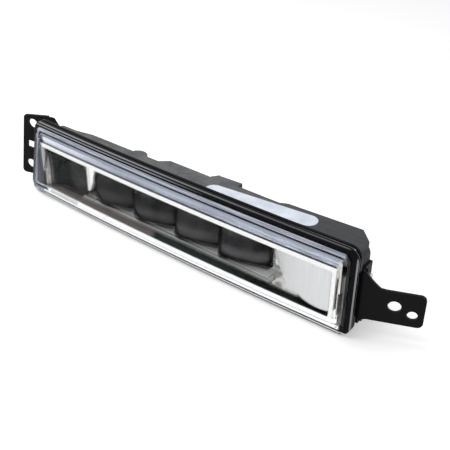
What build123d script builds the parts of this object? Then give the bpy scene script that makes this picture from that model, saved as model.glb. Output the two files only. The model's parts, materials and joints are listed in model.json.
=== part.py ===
from build123d import *
import os
from math import cos, radians, sin, sqrt, tan

# Clear front face
FACE_RIGHT = 139.8
FACE_LEFT = 148.0
FACE_TOP = 22.5
FACE_CORNER = 3.0
END_SLANT = 13.5
BOW_RADIUS = 3600.0
LENS_WALL = 1.6

# Steps of the lens rim, as growth beyond the face
STEP_SIDE = 3.0
STEP_RISE = 4.3
STEP_DEPTH = 2.8
FOOT_SIDE = 5.2
FOOT_RISE = 7.5
FOOT_DROP = 9.7
FOOT_DEPTH = 5.2
SKIRT_INSET = 0.4
EDGE_ROUND = 0.7
STEP_ROUND = 0.5

# Double lip of the housing
LIP_FRONT = 7.25
LIP_BACK = 14.0
LIP_SIDE = 9.5
LIP_RISE = 11.8
LIP_CORNER = 9.0
LIP_ROUND = 0.9
LIP_GROOVE_FRONT = 10.0
LIP_GROOVE_WIDTH = 1.3
LIP_GROOVE_DEPTH = 1.4
CHANNEL_FLOOR = 12.4
CHANNEL_WALL = 1.5
SEAL_THICKNESS = 0.8
SEAL_PLAY = 0.05
GAP = 0.3

# Collar and back wall of the housing
WALL = 2.5
BOX_RIGHT = 146.7
BOX_LEFT = 139.7
BOX_TOP = 28.0
BOX_CORNER = 7.0
BOX_BACK = 26.5
END_BAY_LEFT = 97.0
END_BAY_BACK = 31.5

# Hood over the back, as depths of its bays
HOOD_TOP = 30.0
HOOD_UNDER = 20.0
HOOD_SKIN = 2.5
HOOD_LEFT = 133.0
HOOD_RIGHT = 145.3
HOOD_CHAMFER = 10.0
BAY_A_END = -100.0
BAY_B_END = -28.0
BAY_C_END = 13.0
BAY_D_START = 18.0
BAY_D_END = 38.0
BAY_E_END = 75.0
BAY_A_DEPTH = 20.5
BAY_B_DEPTH = 26.8
BAY_C_DEPTH = 32.8
BAY_D_DEPTH = 39.0
BAY_E_DEPTH = 34.4
BAY_F_DEPTH = 37.2
BAY_G_DEPTH = 40.8
BAY_SLOPE = 4.0
HOOD_BOSS_X = -49.5
HOOD_BOSS_Y = 23.5
HOOD_BOSS_RADIUS = 8.0
GUSSET_COUNT = 6
GUSSET_WALL = 2.0

# Bezel
BEZEL_FRONT = 2.8
BEZEL_BACK = 20.0
BEZEL_WALL = 1.3
WINDOW_RIGHT = 134.8
WINDOW_LEFT = 137.0
WINDOW_TOP = 16.2
WINDOW_BOTTOM = 20.0
TRAY_TOP = 18.4
LEDGE_DEPTH = 12.0
RISER_TOP = 17.0
POCKET_SAG = 4.0
POCKET_BESIDE = 6.0
BEZEL_SCREW_HEIGHT = 15.0
BEZEL_SCREW_BESIDE = 4.5

# Light panel at the right end
PANEL_DEEP = 12.5
PANEL_MIDDLE = 7.8
PANEL_SHALLOW = 7.0
PANEL_WALL = 1.4
PANEL_ARC_TOP = 6.0
PANEL_ARC_BOTTOM = -16.6
PANEL_ARC_ACROSS = 12.0
PANEL_ARC_DOWN = -8.5
PANEL_POST = 2.0

# Projector modules
MODULES = 5
ROW_LEFT = -79.5
ROW_RIGHT = 82.0
MODULE_GAP = 2.5
HOLDER_WIDTH = (ROW_RIGHT - ROW_LEFT + MODULE_GAP) / (MODULES - 1) - MODULE_GAP
MODULE_PITCH = HOLDER_WIDTH + MODULE_GAP
HOLDER_TOP = 18.0
FIRST_BOTTOM = 16.0
LAST_BOTTOM = 12.8
FIRST_CORNER = 13.5
LAST_CORNER = 3.5
HOLDER_WALL = 1.3
HOLDER_CHIN = 3.2
HOLDER_MID_Y = 10.8
FIRST_HOLDER_WIDTH = 22.0
FIRST_GAP = 9.0
FLARE_DEPTH = 8.4
FLARE_LOW = -7.0
SWEEP = 16.0
BLOCK_THICKNESS = 5.5
BLOCK_BULGE_RADIUS = 62.0
BLOCK_BULGE = 2.2
LIGHT_WELL_INSET = 5.0

# Boards and heat sink
BOARD_FRONT = 21.9
BOARD_THICKNESS = 1.6
BOARD_LEFT = 128.0
BOARD_RIGHT = 89.0
BOARD_HALF_HEIGHT = 11.5
PAD_THICKNESS = 0.5
CHIP_SIZE = 5.0
CHIP_HEIGHT = 1.0
SINK_LEFT = 129.0
SINK_RIGHT = 90.0
SINK_PLUG_HALF = 11.5
SINK_EDGE = 6.5
SINK_SCREW_INSET = 14.0
SINK_SEAL = 0.8
SINK_PLATE = 3.0
FIN_DEPTH = 12.0
FIN_WALL = 1.6
FIN_COUNT = 25
FIN_HALF = 10.0

# Driver and its inlet
DRIVER_LEFT = 100.0
DRIVER_RIGHT = 140.0
DRIVER_HALF = 19.0
DRIVER_FRONT = 24.4
COIL_RADIUS = 6.0
COIL_INSET = 10.0
COIL_RISE = 3.0
COIL_HEIGHT = 3.6
CAPACITOR_RADIUS = 3.6
CAPACITOR_INSET = 14.0
CAPACITOR_DROP = 11.0
CAPACITOR_HEIGHT = 3.2
CONTROLLER_INSET = 16.0
CONTROLLER_SIDE = 10.0
CONTROLLER_BOTTOM = 6.0
CONTROLLER_WIDTH = 8.0
CONTROLLER_HEIGHT = 1.6
SOCKET_X = 124.0
SOCKET_WIDTH = 24.0
SOCKET_HEIGHT = 13.0
SOCKET_DEPTH = 14.0
SOCKET_WALL = 1.8
SOCKET_FLANGE = 3.0
PIN_COUNT = 3
PIN_PITCH = 5.0
PIN_SIZE = 1.2
PIN_RECESS = 6.0
VENT_X = 103.0
VENT_RADIUS = 5.5

# Right bracket
PLATE = 2.0
TAB_TURN = 22.9
TAB_ROOT_X = 149.3
TAB_ROOT_Y = 19.5
TAB_NECK_TOP = 16.5
TAB_TOP = 3.0
TAB_BOTTOM = 22.2
TAB_START = 13.5
TAB_END = 41.5
TAB_CORNER = 4.0
TAB_BIG_HOLE = 4.4
TAB_SMALL_HOLE = 3.5
TAB_BIG_AT = 22.1
TAB_BIG_Z = -8.5
TAB_SMALL_AT = 33.9
TAB_SMALL_Z = -13.3
LEG_BOTTOM = 26.0
LEG_SCREW_DEPTH = 28.4
TAB_BEND = 1.6

# Left bracket
EAR_TURN = 16.0
EAR_STAND = 8.1
EAR_ROOT_Y = 22.7
EAR_REACH = 26.9
EAR_TOP = 32.9
EAR_TOP_FALL = 2.4
EAR_BOTTOM = 24.4
EAR_LEAN = 8.5
EAR_CORNER = 3.0
EAR_HOLE = 4.25
EAR_SQUARE = 6.8
EAR_UPPER_AT = -13.9
EAR_UPPER_Z = 23.6
EAR_LOWER_AT = -20.8
EAR_LOWER_Z = -15.0
EAR_SQUARE_AT = -18.3
EAR_SQUARE_Z = 3.7
EAR_LEG_BACK = 34.5
EAR_LEG_TOP = 19.0
EAR_SCREW_DEPTH = 30.6
LUG_HALF = 5.0

# Screws
SCREW_RADIUS = 1.5
SCREW_HEAD = 2.8
SCREW_HEAD_HEIGHT = 1.8
SOCKET_ACROSS = 1.3
SOCKET_SUNK = 1.0
SINK_SCREW_LENGTH = 6.0
BOARD_SCREW_LENGTH = 4.5
BEZEL_SCREW_LENGTH = 4.6
DRIVER_SCREW_LENGTH = 4.0
SIDE_SCREW_LENGTH = 5.5

# Room round the lamp for cutting blocks
CLEAR = 60.0


def facing_back(sketch, front, back):
    """Extrude a front view sketch between two depths."""
    return extrude(Plane.XZ.offset(-front) * sketch, amount=-(back - front))


def from_above(sketch, low, high):
    """Extrude a plan view sketch between two heights."""
    return extrude(Plane.XY.offset(low) * sketch, amount=high - low)


def slab_between(x0, x1, y0, y1, z0, z1):
    """Plain block between two corners."""
    size = Box(x1 - x0, y1 - y0, z1 - z0)
    return Pos((x0 + x1) / 2, (y0 + y1) / 2, (z0 + z1) / 2) * size


def rod(x, z, radius, front, back):
    """Round bar along the depth."""
    return facing_back(Pos(x, z) * Circle(radius), front, back)


def front_outline(left, right, top, bottom, corner):
    """Lamp outline in the front view, with the slanted left end."""
    lean = tan(radians(END_SLANT))
    corners = Polygon(
        (right, top),
        (-left + lean * top, top),
        (-left - lean * bottom, -bottom),
        (right, -bottom),
        align=None,
    )
    return fillet(corners.vertices(), corner)


def grown(side, rise, drop, corner):
    """Face outline grown by a side, top and bottom amount."""
    return front_outline(
        FACE_LEFT + side,
        FACE_RIGHT + side,
        FACE_TOP + rise,
        FACE_TOP + drop,
        corner,
    )


def bow_at(x):
    """Set-back of the bowed front at a place along the lamp."""
    return BOW_RADIUS - sqrt(BOW_RADIUS**2 - x**2)


def bow_slab(front, back):
    """Slab that follows the bow of the front."""
    reach = FACE_LEFT + 40
    sag = bow_at(reach)
    near = ThreePointArc((-reach, front + sag), (0, front), (reach, front + sag))
    far = ThreePointArc((-reach, back + sag), (0, back), (reach, back + sag))
    left = Line((-reach, front + sag), (-reach, back + sag))
    right = Line((reach, front + sag), (reach, back + sag))
    return from_above(make_face([near, right, far, left]), -CLEAR, CLEAR)


def bowed(sketch, front, back):
    """Front view sketch, extruded between two bowed surfaces."""
    return facing_back(sketch, front - 1, back + 15) & bow_slab(front, back)


def module_x(index):
    """Centre of a projector module along the lamp."""
    if index == 1:
        return ROW_LEFT - FIRST_GAP - FIRST_HOLDER_WIDTH / 2
    return ROW_RIGHT - HOLDER_WIDTH / 2 - (MODULES - index) * MODULE_PITCH


def module_width(index):
    """Width of a module's barrel: the inner one is narrower."""
    return FIRST_HOLDER_WIDTH if index == 1 else HOLDER_WIDTH


def module_sweep(index):
    """Turn of a module's front: the inner one faces straight ahead of the lens."""
    return 0.0 if index == 1 else SWEEP


def module_place(index):
    """Place of a module's front centre, turned by its sweep."""
    return Pos(module_x(index), HOLDER_MID_Y, 0) * Rot(0, 0, module_sweep(index))


def along_row(index, first, last):
    """Value of a size that changes evenly from the first module to the last."""
    return first + (last - first) * (index - 1) / (MODULES - 1)


def module_outline(index, inset, chin=0.0):
    """Rounded outline of a module, drawn in by an inset and raised at the bottom by a chin."""
    width = module_width(index) - 2 * inset
    bottom = along_row(index, FIRST_BOTTOM, LAST_BOTTOM) - chin
    height = HOLDER_TOP + bottom - 2 * inset
    corner = max(min(along_row(index, FIRST_CORNER, LAST_CORNER) - inset, width / 2 - 0.2), 1.0)
    middle = (HOLDER_TOP - bottom) / 2
    return Pos(0, middle) * RectangleRounded(width, height, corner)


def rounded_front(body, radius):
    """Body with the edge round its front face rounded."""
    return fillet(body.faces().sort_by(Axis.Y)[0].edges(), radius)


def rounded_back(body, radius):
    """Body with the edge round its back face rounded."""
    return fillet(body.faces().sort_by(Axis.Y)[-1].edges(), radius)


def make_outer_lens():
    """Clear lens with a stepped rim and a skirt that enters the housing's channel."""
    foot_back = LIP_FRONT - SEAL_THICKNESS
    face = bowed(grown(0, 0, 0, FACE_CORNER), 0, STEP_DEPTH + 1)
    face = rounded_front(face, EDGE_ROUND)
    step = bowed(grown(STEP_SIDE, STEP_RISE, STEP_RISE, FACE_CORNER + 1), STEP_DEPTH, FOOT_DEPTH + 1)
    step = rounded_front(step, STEP_ROUND)
    foot = bowed(grown(FOOT_SIDE, FOOT_RISE, FOOT_DROP, FACE_CORNER + 2), FOOT_DEPTH, foot_back)
    foot = rounded_front(foot, STEP_ROUND)
    skirt = bowed(skirt_outline(0.0), FOOT_DEPTH, CHANNEL_FLOOR - 2 * GAP)
    inside_front = bowed(
        grown(-LENS_WALL, -LENS_WALL, -LENS_WALL, 1.5), LENS_WALL, STEP_DEPTH + LENS_WALL + 1
    )
    inside_back = bowed(skirt_inside(0.0), STEP_DEPTH + LENS_WALL, CHANNEL_FLOOR + 2)
    return face + step + foot + skirt - inside_front - inside_back


def skirt_outline(slack):
    """Outside of the lens skirt in the front view, grown by a slack."""
    rise = STEP_RISE - SKIRT_INSET + slack
    return grown(STEP_SIDE - SKIRT_INSET + slack, rise, rise, FACE_CORNER + slack)


def skirt_inside(slack):
    """Inside of the lens skirt in the front view, drawn in by a slack."""
    rise = STEP_RISE - SKIRT_INSET - LENS_WALL - slack
    return grown(STEP_SIDE - SKIRT_INSET - LENS_WALL - slack, rise, rise, max(FACE_CORNER - 1 - slack, 1.5))


def make_lens_seal():
    """Flat ring between the lens foot and the housing's lip, outside the skirt."""
    cover = grown(FOOT_SIDE - SKIRT_INSET, FOOT_RISE - SKIRT_INSET, FOOT_DROP - SKIRT_INSET, FACE_CORNER + 2)
    front = LIP_FRONT - SEAL_THICKNESS + SEAL_PLAY
    back = LIP_FRONT - SEAL_PLAY
    return bowed(cover, front, back) - bowed(skirt_outline(GAP), front - 1, back + 1)


def hood_bay(start, end, depth_start, depth_end):
    """Plan view of one bay of the hood."""
    return Polygon(
        (start, LIP_FRONT + 5),
        (end, LIP_FRONT + 5),
        (end, depth_end),
        (start, depth_start),
        align=None,
    )


def hood_plan():
    """Plan view of the hood with its scalloped back edge."""
    bays = hood_bay(-HOOD_LEFT, BAY_A_END, BAY_A_DEPTH, BAY_B_DEPTH)
    bays += hood_bay(BAY_A_END, BAY_B_END, BAY_B_DEPTH, BAY_B_DEPTH)
    bays += hood_bay(BAY_B_END - BAY_SLOPE, BAY_B_END + BAY_SLOPE, BAY_B_DEPTH - 1, BAY_C_DEPTH)
    bays += hood_bay(BAY_B_END + BAY_SLOPE, BAY_C_END, BAY_C_DEPTH, BAY_C_DEPTH)
    bays += hood_bay(BAY_C_END, BAY_D_START, BAY_C_DEPTH - 1.5, BAY_D_DEPTH)
    bays += hood_bay(BAY_D_START, BAY_D_END, BAY_D_DEPTH - 0.8, BAY_D_DEPTH + 0.4)
    bays += hood_bay(BAY_D_END, BAY_E_END, BAY_E_DEPTH, BAY_E_DEPTH)
    bays += hood_bay(BAY_E_END - BAY_SLOPE, BAY_E_END + BAY_SLOPE, BAY_E_DEPTH - 1, BAY_F_DEPTH)
    chamfer_start = HOOD_RIGHT - HOOD_CHAMFER
    bays += hood_bay(BAY_E_END + BAY_SLOPE, chamfer_start, BAY_F_DEPTH, BAY_G_DEPTH)
    bays += hood_bay(chamfer_start, HOOD_RIGHT, BAY_G_DEPTH, BAY_G_DEPTH - HOOD_CHAMFER)
    bays += Pos(HOOD_BOSS_X, HOOD_BOSS_Y) * Circle(HOOD_BOSS_RADIUS)
    return bays


def make_hood():
    """Raised rear cover of the housing, open from below behind the back wall."""
    plan = hood_plan()
    hood = from_above(plan, HOOD_UNDER, HOOD_TOP)
    hollow = from_above(offset(plan, -HOOD_SKIN), HOOD_UNDER - 1, HOOD_TOP - HOOD_SKIN)
    behind_left = slab_between(-BOX_LEFT, END_BAY_LEFT, BOX_BACK, BOX_BACK + 40, -CLEAR, CLEAR)
    behind_right = slab_between(END_BAY_LEFT, BOX_RIGHT, END_BAY_BACK, END_BAY_BACK + 40, -CLEAR, CLEAR)
    hood -= hollow & (behind_left + behind_right)
    inside = slab_between(-BOX_LEFT - 5, BOX_RIGHT, 0, BOX_BACK - 1, HOOD_UNDER - 1, BOX_TOP - WALL)
    inside += slab_between(END_BAY_LEFT, BOX_RIGHT, 0, END_BAY_BACK - 1, HOOD_UNDER - 1, BOX_TOP - WALL)
    hood -= inside
    return hood


def box_outline(inset):
    """Front view outline of the collar, drawn in by an inset."""
    left = -BOX_LEFT + inset
    right = BOX_RIGHT - inset
    half = BOX_TOP - inset
    outline = Polygon((left, -half), (right, -half), (right, half), (left, half), align=None)
    return fillet(outline.vertices(), BOX_CORNER - inset)


def make_gussets():
    """Ribs under the hood that carry it off the back wall."""
    ribs = []
    first = -HOOD_LEFT + 20
    step = (END_BAY_LEFT - 10 - first) / (GUSSET_COUNT - 1)
    for index in range(GUSSET_COUNT):
        middle = first + index * step
        rib = slab_between(
            middle - GUSSET_WALL / 2,
            middle + GUSSET_WALL / 2,
            BOX_BACK - 1,
            BOX_BACK + 40,
            HOOD_UNDER,
            HOOD_TOP - 1,
        )
        ribs.append(rib)
    under_hood = from_above(offset(hood_plan(), -1.0), HOOD_UNDER, HOOD_TOP - 1)
    return [rib & under_hood for rib in ribs]


def screw_spots():
    """Places of the screws round the heat sink."""
    row = SINK_PLUG_HALF + SINK_EDGE / 2 + 0.25
    spots = []
    for x in (-SINK_LEFT + SINK_SCREW_INSET, (SINK_RIGHT - SINK_LEFT) / 2, SINK_RIGHT - SINK_SCREW_INSET):
        spots += [(x, row), (x, -row)]
    return spots


def bezel_screw_spots():
    """Places of the screws that hold the bezel's back wall, beside the row of modules."""
    beside = ROW_RIGHT + BEZEL_SCREW_BESIDE
    between = ROW_LEFT - FIRST_GAP / 2
    return [(between, -BEZEL_SCREW_HEIGHT), (beside, BEZEL_SCREW_HEIGHT), (beside, -BEZEL_SCREW_HEIGHT)]


def driver_spots():
    """Corners of the driver board with a screw each."""
    inset = 4.0
    return [
        (DRIVER_LEFT + inset, DRIVER_HALF - inset),
        (DRIVER_RIGHT - inset, DRIVER_HALF - inset),
        (DRIVER_LEFT + inset, -DRIVER_HALF + inset),
        (DRIVER_RIGHT - inset, -DRIVER_HALF + inset),
    ]


def leg_spots():
    """Heights and depths of the screws in the right bracket's leg."""
    return [(LEG_SCREW_DEPTH, 6.0), (LEG_SCREW_DEPTH, -16.0)]


def ear_leg_spots():
    """Heights and depths of the screws in the left bracket's leg."""
    return [(EAR_SCREW_DEPTH, 9.0), (EAR_SCREW_DEPTH, -12.0)]


def ear_leg_x():
    """Place of the left leg's outer face, off the collar."""
    return -BOX_LEFT - EAR_STAND - PLATE


def make_housing():
    """Black moulding: double lip with channel, collar, back wall, hood and bosses."""
    lip = bowed(grown(LIP_SIDE, LIP_RISE, LIP_RISE, LIP_CORNER), LIP_FRONT, LIP_BACK)
    lip = rounded_back(rounded_front(lip, LIP_ROUND), LIP_ROUND)
    groove_back = LIP_GROOVE_FRONT + LIP_GROOVE_WIDTH
    groove_core = grown(
        LIP_SIDE - LIP_GROOVE_DEPTH,
        LIP_RISE - LIP_GROOVE_DEPTH,
        LIP_RISE - LIP_GROOVE_DEPTH,
        LIP_CORNER - LIP_GROOVE_DEPTH,
    )
    groove = bow_slab(LIP_GROOVE_FRONT, groove_back) - facing_back(groove_core, -5, 60)
    lip -= groove
    mouth = skirt_inside(GAP + CHANNEL_WALL)
    lip -= bowed(mouth, LIP_FRONT - 1, CHANNEL_FLOOR)
    channel = bowed(skirt_outline(GAP), LIP_FRONT - 1, CHANNEL_FLOOR)
    lip -= channel - bowed(skirt_inside(GAP), LIP_FRONT - 2, CHANNEL_FLOOR + 1)
    collar = facing_back(box_outline(0), LIP_FRONT + 5, BOX_BACK)
    end_bay = facing_back(box_outline(0), LIP_FRONT + 5, END_BAY_BACK)
    end_bay &= slab_between(END_BAY_LEFT, BOX_RIGHT + 1, 0, 60, -CLEAR, CLEAR)
    body = collar + end_bay + make_hood()
    front_cut = facing_back(grown(LIP_SIDE, LIP_RISE, LIP_RISE, LIP_CORNER), -5, 60)
    body &= front_cut + slab_between(-200, 200, LIP_BACK + 8, 80, -CLEAR, CLEAR)
    body -= facing_back(mouth, -5, 60) & bow_slab(-5, CHANNEL_FLOOR)
    body -= bow_slab(-30, LIP_BACK - 0.5)
    body += lip
    cavity = facing_back(box_outline(WALL), LIP_BACK + 1.0, BOX_BACK - WALL)
    end_cavity = facing_back(box_outline(WALL), LIP_BACK + 1.0, END_BAY_BACK - WALL)
    cavity += end_cavity & slab_between(END_BAY_LEFT + WALL, BOX_RIGHT, 0, 60, -CLEAR, CLEAR)
    cavity &= bow_slab(LIP_BACK, 60)
    doorway = facing_back(mouth, 0, LIP_BACK + 6)
    doorway &= slab_between(-BOX_LEFT + WALL, FACE_RIGHT, 0, LIP_BACK + 6, -CLEAR, CLEAR)
    body -= cavity + doorway
    wall_front = BOX_BACK - WALL - 1
    body -= slab_between(-SINK_LEFT, SINK_RIGHT, wall_front, BOX_BACK + 1, -SINK_PLUG_HALF, SINK_PLUG_HALF)
    for rib in make_gussets():
        body += rib
    for x, z in driver_spots():
        body += rod(x, z, SCREW_RADIUS + 1.8, DRIVER_FRONT + BOARD_THICKNESS, END_BAY_BACK - WALL + 0.5)
        body -= rod(x, z, SCREW_RADIUS + GAP, DRIVER_FRONT - 1, END_BAY_BACK - 1)
    for x, z in bezel_screw_spots():
        back = BOX_BACK - WALL + 0.5
        body += rod(x, z, SCREW_RADIUS + 1.6, BEZEL_BACK, back)
        body -= rod(x, z, SCREW_RADIUS + GAP, BEZEL_BACK - 1, back + 0.8)
    for x, z in screw_spots():
        body += rod(x, z, SCREW_RADIUS + 1.8, BOX_BACK - WALL - 1.5, BOX_BACK - 0.5)
        body -= rod(x, z, SCREW_RADIUS + GAP, BOX_BACK - WALL - 1, BOX_BACK + 1)
    half_hole = PIN_PITCH * (PIN_COUNT - 1) / 2 + 3
    wall_front = END_BAY_BACK - WALL - 1
    body -= slab_between(SOCKET_X - half_hole, SOCKET_X + half_hole, wall_front, END_BAY_BACK + 1, -4, 4)
    body -= rod(VENT_X, 0, VENT_RADIUS - 2.5 + GAP, END_BAY_BACK - WALL - 1, END_BAY_BACK + 1)
    for y, z in leg_spots():
        body -= Pos(BOX_RIGHT, y, z) * Rot(0, 90, 0) * Cylinder(SCREW_RADIUS + GAP, 12)
    lug_end = ear_leg_x() + PLATE
    lug_back = EAR_LEG_BACK - 0.5
    for y, z in ear_leg_spots():
        body += slab_between(
            lug_end, -BOX_LEFT + 1, BOX_BACK - LUG_HALF, lug_back, z - LUG_HALF, z + LUG_HALF
        )
        body -= Pos(ear_leg_x() + PLATE, y, z) * Rot(0, 90, 0) * Cylinder(SCREW_RADIUS + GAP, 12)
    return body


def pocket_plan(inset):
    """Plan of the tray: everything right of the curved left pocket."""
    outside = -WINDOW_LEFT - 7 + inset
    inside = module_x(1) - FIRST_HOLDER_WIDTH / 2 - POCKET_BESIDE + inset
    start = (outside, -2)
    bend = (outside, BEZEL_FRONT + 4)
    end = (inside, BEZEL_BACK + 0.01)
    chord_x = (bend[0] + end[0]) / 2 + POCKET_SAG / 2
    chord_y = (bend[1] + end[1]) / 2 - POCKET_SAG / 2
    curve = ThreePointArc(bend, (chord_x, chord_y), end)
    right = WINDOW_RIGHT + 10
    edges = [
        Line(start, bend),
        curve,
        Line(end, (end[0], BEZEL_BACK + 5)),
        Line((end[0], BEZEL_BACK + 5), (right, BEZEL_BACK + 5)),
        Line((right, BEZEL_BACK + 5), (right, -2)),
        Line((right, -2), start),
    ]
    return make_face(edges)


def make_flare():
    """Chromed shield between the inner module and its neighbour, narrowing downwards."""
    left = module_x(1) + FIRST_HOLDER_WIDTH / 2 + GAP
    right = ROW_LEFT - GAP
    low = left + (right - left) / 4
    shield = Polygon(
        (left, TRAY_TOP + 0.5),
        (right, TRAY_TOP + 0.5),
        (right, HOLDER_TOP / 2),
        (low, FLARE_LOW),
        (left, FLARE_LOW),
        align=None,
    )
    return facing_back(shield, FLARE_DEPTH, FLARE_DEPTH + BEZEL_WALL)


def make_bezel():
    """Chromed tray with a front rim and flange, a ledge, a curved pocket and five openings."""
    rim_inset = LENS_WALL + GAP
    flange_front = STEP_DEPTH + LENS_WALL + GAP
    rim = bowed(grown(-rim_inset, -rim_inset, -rim_inset, 1.5), BEZEL_FRONT, flange_front + GAP)
    flange = bowed(skirt_inside(GAP), flange_front, LIP_FRONT - GAP)
    window = front_outline(WINDOW_LEFT, WINDOW_RIGHT, WINDOW_TOP, WINDOW_BOTTOM, 1.5)
    room = front_outline(WINDOW_LEFT, WINDOW_RIGHT, TRAY_TOP, WINDOW_BOTTOM, 1.5)
    shell = front_outline(
        WINDOW_LEFT + BEZEL_WALL,
        WINDOW_RIGHT + BEZEL_WALL,
        TRAY_TOP + BEZEL_WALL,
        WINDOW_BOTTOM + BEZEL_WALL,
        1.5 + BEZEL_WALL,
    )
    tray = facing_back(shell, 0, BEZEL_BACK) & from_above(pocket_plan(0), -CLEAR, CLEAR)
    tray &= bow_slab(flange_front, CLEAR)
    hollow = facing_back(room, 0, BEZEL_BACK - BEZEL_WALL) & bow_slab(BEZEL_FRONT + BEZEL_WALL, CLEAR)
    hollow &= from_above(pocket_plan(BEZEL_WALL), -CLEAR, CLEAR)
    bezel = rim + flange + tray - hollow - bowed(window, 0, BEZEL_FRONT + BEZEL_WALL)
    riser = slab_between(
        -WINDOW_LEFT, ROW_RIGHT, LEDGE_DEPTH, BEZEL_BACK, -WINDOW_BOTTOM - BEZEL_WALL / 2, -RISER_TOP
    )
    bezel += riser & from_above(pocket_plan(BEZEL_WALL / 2), -CLEAR, CLEAR)
    bezel += make_flare()
    for index in range(1, MODULES + 1):
        opening = Pos(module_x(index), 0) * module_outline(index, -GAP)
        bezel -= facing_back(opening, BEZEL_BACK - 6, BEZEL_BACK + 1)
    for x, z in bezel_screw_spots():
        bezel -= rod(x, z, SCREW_RADIUS + GAP, BEZEL_BACK - 4, BEZEL_BACK + 1)
        bezel -= rod(x, z, SCREW_HEAD + GAP, LEDGE_DEPTH - 1, BEZEL_BACK - BEZEL_WALL)
    return bezel


def make_lens_block(index):
    """Smoky lens block with a bulging front, turned to face along the car."""
    outline = module_outline(index, HOLDER_WALL + GAP, HOLDER_CHIN)
    block = facing_back(outline, -6, BLOCK_THICKNESS)
    centre = Pos(0, BLOCK_BULGE_RADIUS - BLOCK_BULGE, 0)
    block &= centre * Sphere(BLOCK_BULGE_RADIUS)
    return module_place(index) * block


def make_holder(index):
    """Black barrel with a swept front that carries the lens block on a ledge."""
    x = module_x(index)
    barrel = facing_back(Pos(x, 0) * module_outline(index, 0), 0, BOARD_FRONT)
    ahead = module_place(index) * slab_between(-CLEAR, CLEAR, -2 * CLEAR, 0, -CLEAR, CLEAR)
    barrel -= ahead
    pocket = facing_back(module_outline(index, HOLDER_WALL, HOLDER_CHIN), -20, BLOCK_THICKNESS)
    barrel -= module_place(index) * pocket
    well = Pos(x, 0) * module_outline(index, LIGHT_WELL_INSET, HOLDER_CHIN)
    barrel -= facing_back(well, 0, BOARD_FRONT + 1)
    return barrel


def panel_edges():
    """Left and right ends of the end panel."""
    return ROW_RIGHT + 4, WINDOW_RIGHT - 0.6


def panel_curve(set_back):
    """Plan curve of the end panel, from its deep left end to its shallow right end."""
    left, right = panel_edges()
    middle = left + (right - left) * 0.42
    return ThreePointArc(
        (left, PANEL_DEEP + set_back),
        (middle, PANEL_MIDDLE + set_back),
        (right, PANEL_SHALLOW + set_back),
    )


def panel_depth(x):
    """Depth of the end panel's front at a place along the lamp."""
    curve = panel_curve(0)
    return curve.arc_center.Y - sqrt(curve.radius**2 - (x - curve.arc_center.X) ** 2)


def make_end_reflector():
    """Curved panel at the right end, cut off below by a large arc, with three posts."""
    left, right = panel_edges()
    top = TRAY_TOP - 0.4
    left_end = Line((left, PANEL_DEEP), (left, PANEL_DEEP + PANEL_WALL))
    right_end = Line((right, PANEL_SHALLOW), (right, PANEL_SHALLOW + PANEL_WALL))
    plan = make_face([panel_curve(0), right_end, panel_curve(PANEL_WALL), left_end])
    sheet = from_above(plan, -top - 2, top + 2)
    near = left + 1
    far = right - 0.5
    bend = (near + PANEL_ARC_ACROSS, PANEL_ARC_DOWN)
    arc = ThreePointArc((near, PANEL_ARC_TOP), bend, (far, PANEL_ARC_BOTTOM))
    shape = make_face([
        arc,
        Line((far, PANEL_ARC_BOTTOM), (far, top)),
        Line((far, top), (near, top)),
        Line((near, top), (near, PANEL_ARC_TOP)),
    ])
    panel = sheet & facing_back(shape, 0, CLEAR)
    for x, z in ((left + 12, 8.0), (right - 8, 8.0), (right - 8, -10.0)):
        panel += rod(x, z, PANEL_POST, panel_depth(x) + PANEL_WALL / 2, BEZEL_BACK - BEZEL_WALL)
    return panel


def make_led_board():
    """Board behind the modules, with screw holes."""
    back = BOARD_FRONT + BOARD_THICKNESS
    board = slab_between(-BOARD_LEFT, BOARD_RIGHT, BOARD_FRONT, back, -BOARD_HALF_HEIGHT, BOARD_HALF_HEIGHT)
    return pierce(board, board_screw_spots(), BOARD_FRONT - 1, back + 1)


def board_screw_spots():
    """Places of the screws at the ends of the board, through board and pad."""
    height = BOARD_HALF_HEIGHT / 2
    spots = []
    for x in (-BOARD_LEFT + 4, BOARD_RIGHT - 3.2):
        spots += [(x, height), (x, -height)]
    return spots


def pierce(body, spots, front, back):
    """Drill screw clearance holes along the depth."""
    for x, z in spots:
        body -= rod(x, z, SCREW_RADIUS + GAP, front, back)
    return body


def make_led_chips():
    """One emitter in the middle of each module."""
    half = CHIP_SIZE / 2
    front = BOARD_FRONT - CHIP_HEIGHT
    middles = [module_x(index) for index in range(1, MODULES + 1)]
    return [slab_between(x - half, x + half, front, BOARD_FRONT, -half, half) for x in middles]


def make_thermal_pad():
    """Sheet between the board and the heat sink."""
    front = BOARD_FRONT + BOARD_THICKNESS
    back = front + PAD_THICKNESS
    half = SINK_PLUG_HALF - 1
    pad = slab_between(-SINK_LEFT + 1, SINK_RIGHT - 1, front, back, -half, half)
    return pierce(pad, board_screw_spots(), front - 1, back + 1)


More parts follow.
